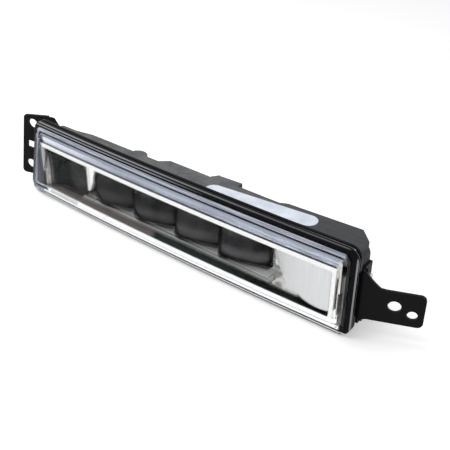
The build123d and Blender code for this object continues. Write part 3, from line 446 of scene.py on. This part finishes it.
def all_of(graph, *masks):
    """1 where every mask is 1."""
    product = masks[0]
    for mask in masks[1:]:
        product = graph.math("MULTIPLY", product, mask)
    return product


def any_of(graph, *masks):
    """1 where one of the masks is 1."""
    largest = masks[0]
    for mask in masks[1:]:
        largest = graph.math("MAXIMUM", largest, mask)
    return largest


def band(graph, value, low, high, soft):
    """1 between two places in millimetres, 0 outside them, with soft edges."""
    return all_of(graph, past(graph, value, low, soft), before(graph, value, high, soft))


def streaked(graph, streak, low, high, dark, light):
    """Dark colour under the low share of a streak, light above the high share."""
    return graph.mix_colour(graph.ramp(streak, 0.0, 1.0, low, high), dark, light)


def lamp_place(graph):
    """Along, depth, height and back, in metres, of the place on the lamp that is shaded."""
    outputs = effect(graph, "Lamp place").outputs
    return [outputs[name] for name in ("Along", "Depth", "Height", "Back")]


def clear_lens_material(look):
    """Clear polished plastic that lets the lamps through to what is behind it."""
    material, graph, shader = new_material("Clear lens", look.lens_tint, 0.01, IOR=1.1)
    shader.inputs["Specular Tint"].default_value = (0.0, 0.0, 0.0, 1.0)
    shader.inputs["Transmission Weight"].default_value = 1.0
    haze = effect(graph, "Flow haze", Scale=9.0, Fine_scale=60.0)
    graph.link(graph.ramp(haze.outputs["Haze"], 0.0, 0.004, 0.45, 0.75), shader.inputs["Roughness"])
    path = graph.add("ShaderNodeLightPath")
    soft = graph.math("MAXIMUM", path.outputs["Is Shadow Ray"], path.outputs["Is Diffuse Ray"])
    graph.link(graph.ramp(soft, 0.7, 0.02), shader.inputs["Alpha"])
    return material


def lip_colour_with_painted_highlights(graph, look, along, depth, height):
    """Black polished lip with painted highlights: a grey line along its channel's edge, light lines along its top and
    right edges and across its front face, and a white line low on its front.
    """
    # Painted highlight: a grey line along the edge of the lip's channel, strongest at the right end.
    groove_highlight = all_of(graph, band(graph, depth, 9.75, 10.02, 0.05), graph.ramp(along, 0.1, 1.0, 0.095, 0.125))
    lip = graph.mix_colour(groove_highlight, look.lip, (0.30, 0.30, 0.31))
    front = before(graph, depth, LIP_FRONT, 0.1)
    # Painted highlights: light lines along the lip's top edge, fading to the right, and along its right edge.
    top_edge_highlight = all_of(graph, past(graph, height, 33.65, 0.15), graph.ramp(along, 1.0, 0.3, -0.06, 0.08))
    outer = any_of(graph, top_edge_highlight, past(graph, along, 148.45, 0.15))
    lip = graph.mix_colour(all_of(graph, outer, front), lip, (0.34, 0.34, 0.36))
    # Painted highlight: a light line across the lip's front face, fading to the right.
    front_highlight = all_of(graph, band(graph, height, 31.2, 32.2, 0.1), before(graph, along, 5.0, 25.0))
    lip = graph.mix_colour(all_of(graph, front_highlight, front), lip, (0.36, 0.37, 0.42))
    # Painted highlight: a white line low on the lip's front face.
    under = all_of(graph, band(graph, height, -32.75, -31.6, 0.1), front)
    return graph.mix_colour(under, lip, (0.93, 0.93, 0.92))


def channel_colour(graph, along, height):
    """Sealant in the channel round the lens: navy along it, pale at the right end with a dark patch painted in as
    shade there.
    """
    pale = graph.mix_colour(past(graph, along, 137.5, 1.5), (0.06, 0.07, 0.11), (0.95, 0.94, 0.93))
    # Painted shade: a dark patch at the right end of the channel.
    recess_shade = all_of(graph, band(graph, height, 11.5, 20.0, 0.3), past(graph, along, 138.5, 0.5))
    return graph.mix_colour(recess_shade, pale, (0.05, 0.042, 0.038))


def housing_material(look):
    """Black moulding: grained body with dust that is partly painted light and shade, polished lip with painted
    highlights, sealant in the channel round the lens with painted shade at its right end.
    """
    material, graph, shader = new_material("Housing black", look.housing, 0.5, Specular_IOR_Level=0.06)
    grain = effect(graph, "Moulded grain", Grain_scale=1500.0, Mottle_scale=45.0)
    flow = effect(graph, "Brushing", Along_X=14.0, Along_Y=260.0, Along_Z=260.0)
    dust = effect(graph, "Settled dust", Amount=0.30, Scale=120.0)
    along, depth, height, _ = lamp_place(graph)
    pale_flow = [c * 1.35 for c in look.housing]
    body = streaked(graph, flow.outputs["Streak"], 0.3, 0.7, look.housing, pale_flow)
    # Pale dust on faces that look up, which also stands in as painted light on the top; it fades out towards the right
    # end as painted shade.
    dust_and_painted_shading = all_of(graph, dust.outputs["Dust"], graph.ramp(along, 1.0, 0.12, 0.02, 0.11))
    body = graph.mix_colour(dust_and_painted_shading, body, (0.46, 0.47, 0.48))
    polished = before(graph, depth, LIP_END, 0.1)
    colour = graph.mix_colour(polished, body, lip_colour_with_painted_highlights(graph, look, along, depth, height))
    channel = all_of(
        graph,
        band(graph, depth, 7.5, 12.6, 0.1),
        band(graph, height, -32.6, 32.6, 0.2),
        before(graph, along, 144.75, 0.25),
    )
    colour = graph.mix_colour(channel, colour, channel_colour(graph, along, height))
    graph.link(colour, shader.inputs["Base Color"])
    grained = graph.math("SUBTRACT", 1.0, polished)
    rough_body = graph.ramp(grain.outputs["Mottle"], 0.48, 0.62, 0.3, 0.7)
    rough_lip = graph.math("MULTIPLY", polished, 0.16)
    rough = graph.math("ADD", graph.math("MULTIPLY", rough_body, grained), rough_lip)
    graph.link(rough, shader.inputs["Roughness"])
    bump(graph, shader, graph.math("MULTIPLY", grain.outputs["Grain"], grained), 0.35, 0.0002)
    return material


def seal_material(look):
    """Ring behind the lens foot: bluish along the top, pale below with one painted shade line, dark at the right."""
    material, graph, shader = new_material("Lens seal", look.seal, 0.25, Specular_IOR_Level=0.2)
    along, _, height, _ = lamp_place(graph)
    brush = effect(graph, "Brushing", Along_X=9.0, Along_Y=1300.0, Along_Z=1300.0)
    blue = streaked(graph, brush.outputs["Streak"], 0.40, 0.60, (0.26, 0.29, 0.38), (0.72, 0.75, 0.82))
    # Painted shade: a dark line where the lens step's lower edge shades the ring.
    line = band(graph, height, -31.3, -29.9, 0.12)
    low = graph.mix_colour(line, (0.98, 0.98, 0.97), (0.04, 0.035, 0.03))
    colour = graph.mix_colour(past(graph, height, 0.0, 2.0), low, blue)
    colour = graph.mix_colour(before(graph, along, -146.25, 0.75), colour, (0.26, 0.28, 0.33))
    colour = graph.mix_colour(past(graph, along, 141.25, 0.75), colour, (0.012, 0.012, 0.013))
    graph.link(colour, shader.inputs["Base Color"])
    graph.link(before(graph, height, -26.0, 0.2), shader.inputs["Metallic"])
    return material


def rim_colour(graph, look, along, height, depth, streak):
    """Bright plating, brushed above the window and turning pale towards the left end as painted light; painted shade
    low on the wall beside the first module and a thin painted shade line along the top of the rim's front face.
    """
    dark_streak = [c * 0.42 for c in look.brushed]
    streaks = streaked(graph, streak, 0.38, 0.62, dark_streak, look.brushed)
    # Painted light: the brushing turns pale towards the left end.
    painted_left_light = graph.ramp(along, 0.75, 0.0, -0.125, -0.055)
    streaks = graph.mix_colour(painted_left_light, streaks, (0.90, 0.93, 0.99))
    colour = graph.mix_colour(past(graph, height, RIM_TOP, 0.3), look.chrome, streaks)
    # Painted shade: dark low on the wall beside the first module.
    flare_shade = all_of(
        graph,
        band(graph, along, -105.0, -94.0, 0.5),
        past(graph, depth, WINDOW_DEPTH, 0.5),
        before(graph, height, 3.0, 7.0),
    )
    colour = graph.mix_colour(flare_shade, colour, (0.03, 0.03, 0.03))
    # Painted shade: a thin dark line along the top of the rim's front face.
    line = all_of(graph, before(graph, depth, RIM_FACE, 0.1), band(graph, height, 19.7, 21.0, 0.1))
    return graph.mix_colour(line, colour, (0.01, 0.012, 0.02))


def end_colours(graph, colour, along, height, streak):
    """Navy and beige strips at the left end; pale strips with two painted dark reflections at the right end."""
    navy = streaked(graph, streak, 0.42, 0.58, (0.004, 0.005, 0.010), (0.05, 0.058, 0.085))
    colour = graph.mix_colour(before(graph, along, -138.6, 0.2), colour, navy)
    colour = graph.mix_colour(band(graph, along, -138.1, -137.5, 0.1), colour, (0.015, 0.015, 0.02))
    under_top = before(graph, height, 16.2, 0.2)
    beige = all_of(graph, band(graph, along, -137.3, -134.6, 0.8), under_top)
    colour = graph.mix_colour(beige, colour, (0.27, 0.262, 0.25))
    side_wall = all_of(graph, band(graph, along, LEFT_RETURN, -132.6, 0.2), under_top)
    colour = graph.mix_colour(side_wall, colour, (0.07, 0.07, 0.075))

    strips = streaked(graph, streak, 0.44, 0.56, (0.55, 0.53, 0.51), (0.97, 0.96, 0.95))
    colour = graph.mix_colour(past(graph, along, RIGHT_RIM, 0.15), colour, strips)
    # Painted reflections: two dark upright strips on the pale right end.
    first_dark_reflection = all_of(graph, band(graph, along, 137.8, 138.7, 0.1), band(graph, height, -13.0, 11.5, 0.3))
    second_dark_reflection = all_of(graph, band(graph, along, 139.6, 141.0, 0.1), band(graph, height, -17.0, 0.0, 0.3))
    return graph.mix_colour(any_of(graph, first_dark_reflection, second_dark_reflection), colour, (0.06, 0.048, 0.042))


def ledge_painted_reflection(graph, look, along, depth, streak):
    """The ledge's colours, painted reflections: brown-grey on the left, dark green on the right, split on a slant."""
    warm = streaked(graph, streak, 0.4, 0.6, [c * 0.6 for c in look.ledge_warm_reflection], look.ledge_warm_reflection)
    dark_reflection = graph.mix_colour(past(graph, along, 60.0, 15.0), look.ledge, [c * 0.35 for c in look.ledge])
    tilt = graph.math("ADD", along, graph.math("MULTIPLY", depth, 0.6))
    return graph.mix_colour(past(graph, tilt, -15.5, 2.0), warm, dark_reflection)


def sill_painted_reflection(graph, look, height, ripple):
    """Pale mottled sill, a painted reflection, with a painted shadow line under the modules."""
    mottle = streaked(graph, ripple, 0.26, 0.36, (0.80, 0.78, 0.76), look.sill)
    # Painted shadow: a dark line under the modules.
    return graph.mix_colour(band(graph, height, -17.7, -17.06, 0.06), mottle, (0.02, 0.02, 0.02))


def chrome_material(look):
    """Plated plastic: bright tray, brushed rim under the lens's steps; ledge, sill and the curved wall at the left end
    are lacquered in painted reflections, and the plating low on the rim is lifted to near white as painted light.
    """
    material, graph, shader = new_material("Bezel chrome", look.chrome, 0.12, 1.0, Specular_IOR_Level=0.03)
    haze = effect(graph, "Flow haze", Scale=26.0, Fine_scale=240.0)
    ripple = haze.outputs["Ripple"]
    brush = effect(graph, "Brushing", Along_X=9.0, Along_Y=1500.0, Along_Z=1500.0).outputs["Streak"]
    upright = effect(graph, "Brushing", Along_X=420.0, Along_Y=420.0, Along_Z=12.0).outputs["Streak"]
    along, depth, height, back = lamp_place(graph)
    colour = rim_colour(graph, look, along, height, depth, brush)
    colour = end_colours(graph, colour, along, height, upright)

    # Painted reflection: the curved wall at the left end is lacquered near-black green, the dark interior that it
    # reflects.
    pocket_reflection = all_of(
        graph,
        past(graph, along, -134.0, 0.5),
        before(graph, along, -102.5, 2.0),
        past(graph, depth, WINDOW_DEPTH, 0.5),
        before(graph, height, 18.8, 0.4),
    )
    green = streaked(graph, upright, 0.4, 0.62, (0.001, 0.0015, 0.0012), (0.006, 0.011, 0.009))
    colour = graph.mix_colour(pocket_reflection, colour, green)

    # Painted reflection: the ledge is lacquered in the colours that its plating reflects.
    ledge = all_of(
        graph,
        band(graph, height, *LEDGE_LEVEL, 0.05),
        past(graph, depth, 3.0, 0.1),
        past(graph, along, -134.75, 0.25),
        before(graph, back, LEDGE_BACK, 0.1),
    )
    colour = graph.mix_colour(ledge, colour, ledge_painted_reflection(graph, look, along, depth, brush))

    # Painted reflection: the sill is lacquered pale where its plating reflects the bright front.
    sill = all_of(
        graph,
        band(graph, height, *SILL_LEVEL, 0.05),
        past(graph, back, SILL_FRONT, 0.15),
        band(graph, along, -100.0, 82.3, 0.3),
    )
    colour = graph.mix_colour(sill, colour, sill_painted_reflection(graph, look, height, ripple))

    # Painted light: the plating low on the rim is lifted to near white so that it reads bright.
    foot = all_of(graph, before(graph, height, -20.5, 0.1), past(graph, along, -137.5, 0.5))
    colour = graph.mix_colour(foot, colour, (0.99, 0.99, 0.98))
    crest = all_of(graph, past(graph, height, 24.2, 0.1), past(graph, depth, 4.9, 0.1))
    colour = graph.mix_colour(crest, colour, (0.50, 0.54, 0.64))
    graph.link(colour, shader.inputs["Base Color"])

    lacquer = any_of(graph, ledge, sill, crest, pocket_reflection)
    graph.link(graph.math("SUBTRACT", 1.0, lacquer), shader.inputs["Metallic"])
    smooth = graph.ramp(haze.outputs["Haze"], 0.06, 0.16, 0.35, 0.7)
    brushed = graph.math("MULTIPLY", past(graph, height, RIM_TOP, 0.3), 0.22)
    graph.link(graph.math("ADD", smooth, brushed), shader.inputs["Roughness"])
    bump(graph, shader, ripple, 0.05, 0.0002)
    return material


def satin_material(look):
    """Satin plated panel with fine upright brushing."""
    material, graph, shader = new_material("Satin chrome", look.satin, 0.35, 1.0)
    streak = effect(graph, "Brushing", Along_X=1500.0, Along_Y=1500.0, Along_Z=30.0).outputs["Streak"]
    dark = [c * 0.88 for c in look.satin]
    graph.link(streaked(graph, streak, 0.35, 0.65, dark, look.satin), shader.inputs["Base Color"])
    graph.link(graph.ramp(streak, 0.32, 0.46, 0.3, 0.7), shader.inputs["Roughness"])
    bump(graph, shader, streak, 0.08, 0.0001)
    return material


def smoked_material(look):
    """Smoky lens block: cloudy, with painted light low on its face and along its top, painted shade towards the left
    end, and fine upright prisms along its top.
    """
    material, graph, shader = new_material("Smoky block", look.smoke, 0.10, IOR=1.5, Specular_IOR_Level=0.08)
    haze = effect(graph, "Flow haze", Scale=60.0, Fine_scale=300.0).outputs["Haze"]
    prism = effect(graph, "Brushing", Along_X=900.0, Along_Y=900.0, Along_Z=14.0).outputs["Streak"]
    along, _, height, _ = lamp_place(graph)
    cloud = graph.ramp(haze, 0.0, 0.55, 0.35, 0.72)
    # Painted light: lighter low on each block's face and along its top, added to the random cloud.
    painted_low_light = graph.math("MULTIPLY", band(graph, height, -7.5, -1.0, 3.0), 0.9)
    painted_top_light = graph.ramp(height, 0.0, 0.55, 0.008, 0.015)
    light = graph.math("ADD", graph.math("ADD", painted_low_light, painted_top_light), cloud, clamp=True)
    # Painted shade: the lighter tones fade towards the left end.
    light = all_of(graph, light, graph.ramp(along, 0.2, 1.0, -0.085, 0.055))
    colour = graph.mix_colour(light, look.smoke, look.smoke_cloudy_and_lit)
    ribs = all_of(graph, graph.ramp(prism, 0.0, 0.8, 0.52, 0.62), past(graph, height, 9.0, 1.5))
    graph.link(graph.mix_colour(ribs, colour, look.smoke_rib), shader.inputs["Base Color"])
    graph.link(graph.ramp(haze, 0.07, 0.14, 0.35, 0.7), shader.inputs["Roughness"])
    return material


def mottled_finish(graph, shader, mottle, roughness, smoother, rougher):
    """Roughness that wanders with the mottling."""
    rough = graph.ramp(mottle, roughness - smoother, roughness + rougher, 0.3, 0.7)
    graph.link(rough, shader.inputs["Roughness"])


def moulded_material(name, colour, roughness, dust_amount=0.0, gloss=0.5):
    """Plain grained moulding."""
    material, graph, shader = new_material(name, colour, roughness, Specular_IOR_Level=gloss)
    grain = effect(graph, "Moulded grain", Grain_scale=2200.0, Mottle_scale=70.0)
    mottle = grain.outputs["Mottle"]
    pale = [min(1.0, c * 1.4 + 0.004) for c in colour]
    base = streaked(graph, mottle, 0.3, 0.7, colour, pale)
    if dust_amount:
        dust = effect(graph, "Settled dust", Amount=dust_amount, Scale=200.0).outputs["Dust"]
        dusty_colour(graph, shader, base, dust)
    else:
        graph.link(base, shader.inputs["Base Color"])
    mottled_finish(graph, shader, mottle, roughness, 0.06, 0.08)
    bump(graph, shader, grain.outputs["Grain"], 0.2, 0.00012)
    return material


def metal_material(name, colour, roughness, grain_scale=1400.0, relief=0.25):
    """Bare cast or plated metal."""
    material, graph, shader = new_material(name, colour, roughness, 1.0)
    grain = effect(graph, "Moulded grain", Grain_scale=grain_scale, Mottle_scale=90.0)
    mottle = grain.outputs["Mottle"]
    dark = [c * 0.78 for c in colour]
    graph.link(streaked(graph, mottle, 0.3, 0.7, dark, colour), shader.inputs["Base Color"])
    mottled_finish(graph, shader, mottle, roughness, 0.08, 0.1)
    bump(graph, shader, grain.outputs["Grain"], relief, 0.0001)
    return material


def paint_material(look):
    """Black dip-painted steel with a slight orange peel."""
    material, graph, shader = new_material("Bracket paint", look.steel_paint, 0.32, Specular_IOR_Level=0.05)
    grain = effect(graph, "Moulded grain", Grain_scale=700.0, Mottle_scale=55.0)
    dust = effect(graph, "Settled dust", Amount=0.02, Scale=140.0)
    dusty_colour(graph, shader, look.steel_paint, dust.outputs["Dust"])
    graph.link(graph.ramp(grain.outputs["Mottle"], 0.26, 0.42, 0.3, 0.7), shader.inputs["Roughness"])
    bump(graph, shader, grain.outputs["Grain"], 0.08, 0.0002)
    return material


class LAMP_OT_outer_lens(bpy.types.Operator):
    """Finish the clear stepped lens"""

    bl_idname = "lamp.outer_lens"
    bl_label = "Outer lens"

    def execute(self, context):
        set_material(["outer_lens"], clear_lens_material(context.scene.lamp_finish))
        return {"FINISHED"}


class LAMP_OT_housing(bpy.types.Operator):
    """Finish the black housing, its vent and its inlet"""

    bl_idname = "lamp.housing"
    bl_label = "Housing"

    def execute(self, context):
        look = context.scene.lamp_finish
        set_material(["housing"], housing_material(look))
        fittings = moulded_material("Fittings black", (0.03, 0.03, 0.032), 0.45, 0.1)
        set_material(["connector_socket", "vent_cap"], fittings)
        set_material(["lens_seal"], seal_material(look))
        set_material(["heat_sink_seal"], moulded_material("Seal rubber", (0.02, 0.02, 0.02), 0.75))
        return {"FINISHED"}


class LAMP_OT_bezel(bpy.types.Operator):
    """Finish the chromed bezel and the end panel"""

    bl_idname = "lamp.bezel"
    bl_label = "Bezel"

    def execute(self, context):
        look = context.scene.lamp_finish
        set_material(["bezel"], chrome_material(look))
        set_material(["end_reflector"], satin_material(look))
        return {"FINISHED"}


class LAMP_OT_modules(bpy.types.Operator):
    """Finish the projector lens blocks and their barrels"""

    bl_idname = "lamp.modules"
    bl_label = "Projector modules"

    def execute(self, context):
        look = context.scene.lamp_finish
        numbers = range(1, MODULE_COUNT + 1)
        set_material([f"projector_lens_{i}" for i in numbers], smoked_material(look))
        barrel = moulded_material("Barrel black", (0.001, 0.001, 0.001), 0.3, gloss=0.04)
        set_material([f"lens_holder_{i}" for i in numbers], barrel)
        return {"FINISHED"}


class LAMP_OT_electronics(bpy.types.Operator):
    """Finish the boards, the parts on them and the pins"""

    bl_idname = "lamp.electronics"
    bl_label = "Electronics"

    def execute(self, context):
        set_material(["led_board", "driver_board"], moulded_material("Board green", (0.02, 0.12, 0.06), 0.35))
        set_material(["led_chips"], moulded_material("Emitter", (0.85, 0.75, 0.25), 0.4))
        set_material(["thermal_pad"], moulded_material("Thermal pad", (0.35, 0.36, 0.38), 0.8))
        set_material(["driver_parts"], moulded_material("Part black", (0.03, 0.03, 0.03), 0.5))
        set_material(["connector_pins"], metal_material("Pin brass", (0.78, 0.62, 0.32), 0.28))
        return {"FINISHED"}


class LAMP_OT_cooling(bpy.types.Operator):
    """Finish the finned heat sink"""

    bl_idname = "lamp.cooling"
    bl_label = "Heat sink"

    def execute(self, context):
        aluminium = context.scene.lamp_finish.aluminium
        set_material(["heat_sink"], metal_material("Cast aluminium", aluminium, 0.45))
        return {"FINISHED"}


class LAMP_OT_brackets(bpy.types.Operator):
    """Finish the steel brackets and every screw"""

    bl_idname = "lamp.brackets"
    bl_label = "Brackets and screws"

    def execute(self, context):
        set_material(["left_bracket", "right_bracket"], paint_material(context.scene.lamp_finish))
        screws = [name for name in frame["nodes"] if name.endswith("_screws")]
        set_material(screws, metal_material("Screw zinc", (0.6, 0.6, 0.58), 0.35, 2600.0, 0.1))
        return {"FINISHED"}


def label_mesh(size):
    """Thin flat film with half-round ends."""
    mesh = bmesh.new()
    radius = size.height / 2
    straight = size.length / 2 - radius
    ring = []
    for side in (1, -1):
        for step in range(LABEL_ARC_STEPS + 1):
            angle = radians(-90 + 180 * step / LABEL_ARC_STEPS)
            x = side * (straight + radius * cos(angle))
            ring.append((x, side * radius * sin(angle)))
    low = [mesh.verts.new((x, y, 0.0)) for x, y in ring]
    high = [mesh.verts.new((x, y, size.thickness)) for x, y in ring]
    mesh.faces.new(high)
    mesh.faces.new(reversed(low))
    count = len(ring)
    for i in range(count):
        j = (i + 1) % count
        mesh.faces.new((low[i], low[j], high[j], high[i]))
    bmesh.ops.remove_doubles(mesh, verts=mesh.verts, dist=1e-6)
    data = bpy.data.meshes.new("hood_label")
    mesh.to_mesh(data)
    mesh.free()
    return data


class LAMP_OT_label(bpy.types.Operator):
    """Lay the bare pale label on the hood"""

    bl_idname = "lamp.label"
    bl_label = "Hood label"

    def execute(self, context):
        size = context.scene.lamp_label
        piece = bpy.data.objects.new("hood_label", label_mesh(size))
        context.scene.collection.objects.link(piece)
        middle = to_frame(*LABEL_MIDDLE)
        piece.matrix_world = Matrix.Translation(middle) @ Matrix.Rotation(size.turn, 4, "Z")
        film = moulded_material("Label film", context.scene.lamp_finish.label, 0.4, 0.03)
        piece.data.materials.append(film)
        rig.ride(piece, "root")
        return {"FINISHED"}


def add_area_light(name, place, target, size, power):
    """Square soft lamp that looks at a target."""
    data = bpy.data.lights.new(name, "AREA")
    data.shape = "SQUARE"
    data.size = size
    data.energy = power
    lamp = bpy.data.objects.new(name, data)
    lamp.location = place
    lamp.rotation_euler = (Vector(target) - Vector(place)).to_track_quat("-Z", "Y").to_euler()
    bpy.context.scene.collection.objects.link(lamp)


def make_camera(look):
    """Camera at the photograph's place."""
    data = bpy.data.cameras.new("camera")
    data.sensor_width = CAMERA_SENSOR
    data.sensor_height = CAMERA_SENSOR
    data.lens = CAMERA_LENS
    camera = bpy.data.objects.new("camera", data)
    turn = Matrix.Rotation(look.azimuth, 4, "Z")
    turn = turn @ Matrix.Rotation(radians(90) - look.elevation, 4, "X")
    turn = turn @ Matrix.Rotation(look.roll, 4, "Z")
    camera.matrix_world = Matrix.Translation(to_frame(*CAMERA_PLACE)) @ turn
    bpy.context.scene.collection.objects.link(camera)
    bpy.context.scene.camera = camera


def seen_directly(graph):
    """1 for rays that look at the surroundings: camera, glossy and transmission."""
    path = graph.add("ShaderNodeLightPath")
    first = graph.math("MAXIMUM", path.outputs["Is Camera Ray"], path.outputs["Is Glossy Ray"])
    return graph.math("MAXIMUM", first, path.outputs["Is Transmission Ray"])


def make_world(look):
    """White surroundings, plain for the camera and softer as light."""
    world = bpy.data.worlds.new("surroundings")
    bpy.context.scene.world = world
    world.use_nodes = True
    graph = Graph(world.node_tree)
    background = world.node_tree.nodes["Background"]
    background.inputs["Color"].default_value = (1.0, 1.0, 1.0, 1.0)
    strength = graph.ramp(seen_directly(graph), look.ambient, 1.0)
    graph.link(strength, background.inputs["Strength"])


def make_floor():
    """Large pale floor under the lip, with the lamp's shadow on it."""
    mesh = bmesh.new()
    bmesh.ops.create_grid(mesh, x_segments=8, y_segments=8, size=FLOOR_HALF_SIZE)
    data = bpy.data.meshes.new("floor")
    mesh.to_mesh(data)
    mesh.free()
    floor = bpy.data.objects.new("floor", data)
    floor.location = (*STAGE_MIDDLE[:2], cad_box[0][2] - FLOOR_DROP)
    bpy.context.scene.collection.objects.link(floor)
    material, graph, shader = new_material("Pale floor", FLOOR_LIT, 0.9, Specular_IOR_Level=0.0)
    seen = seen_directly(graph)
    graph.link(graph.mix_colour(seen, FLOOR_LIT, FLOOR_SEEN), shader.inputs["Base Color"])
    shader.inputs["Emission Color"].default_value = (1.0, 1.0, 1.0, 1.0)
    graph.link(graph.math("MULTIPLY", seen, FLOOR_GLOW), shader.inputs["Emission Strength"])
    data.materials.append(material)
    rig.stage(floor)


class LAMP_OT_stage(bpy.types.Operator):
    """Set up floor, surroundings, lamps and camera"""

    bl_idname = "lamp.stage"
    bl_label = "Studio"

    def execute(self, context):
        look = context.scene.lamp_studio
        context.scene.view_settings.view_transform = "Standard"
        make_camera(look)
        make_world(look)
        make_floor()
        add_area_light("key", KEY_PLACE, STAGE_MIDDLE, KEY_SIZE, look.key_power)
        add_area_light("fill", FILL_PLACE, STAGE_MIDDLE, FILL_SIZE, look.fill_power)
        return {"FINISHED"}


class LAMP_PT_dressing(bpy.types.Panel):
    """Driving light dressing"""

    bl_label = "Driving light"
    bl_idname = "LAMP_PT_dressing"
    bl_space_type = "VIEW_3D"
    bl_region_type = "UI"
    bl_category = "Driving light"

    def draw(self, context):
        for operator in OPERATORS:
            self.layout.operator(operator.bl_idname)
        for settings in (context.scene.lamp_finish, context.scene.lamp_label, context.scene.lamp_studio):
            box = self.layout.box()
            for key in settings.__annotations__:
                box.prop(settings, key)


SETTINGS = (LampFinish, LabelSize, StudioLook)
OPERATORS = (
    LAMP_OT_outer_lens,
    LAMP_OT_housing,
    LAMP_OT_bezel,
    LAMP_OT_modules,
    LAMP_OT_electronics,
    LAMP_OT_cooling,
    LAMP_OT_brackets,
    LAMP_OT_label,
    LAMP_OT_stage,
)


def register():
    """Register the classes and hang the settings on the scene."""
    for item in SETTINGS + OPERATORS + (LAMP_PT_dressing,):
        bpy.utils.register_class(item)
    bpy.types.Scene.lamp_finish = PointerProperty(type=LampFinish)
    bpy.types.Scene.lamp_label = PointerProperty(type=LabelSize)
    bpy.types.Scene.lamp_studio = PointerProperty(type=StudioLook)


def unregister():
    """Take the settings and classes away again."""
    del bpy.types.Scene.lamp_studio
    del bpy.types.Scene.lamp_label
    del bpy.types.Scene.lamp_finish
    for item in reversed(SETTINGS + OPERATORS + (LAMP_PT_dressing,)):
        bpy.utils.unregister_class(item)


def main():
    """Run every operator in order and note the sizes before and after."""
    register()
    bpy.ops.lamp.outer_lens()
    bpy.ops.lamp.housing()
    bpy.ops.lamp.bezel()
    bpy.ops.lamp.modules()
    bpy.ops.lamp.electronics()
    bpy.ops.lamp.cooling()
    bpy.ops.lamp.brackets()
    bpy.ops.lamp.label()
    bpy.ops.lamp.stage()
    sizes = {
        "cad": [list(corner) for corner in cad_box],
        "visual": [list(corner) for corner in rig.bounds()],
    }
    with open("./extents.json", "w") as target:
        json.dump(sizes, target)


if __name__ == "__main__":
    main()
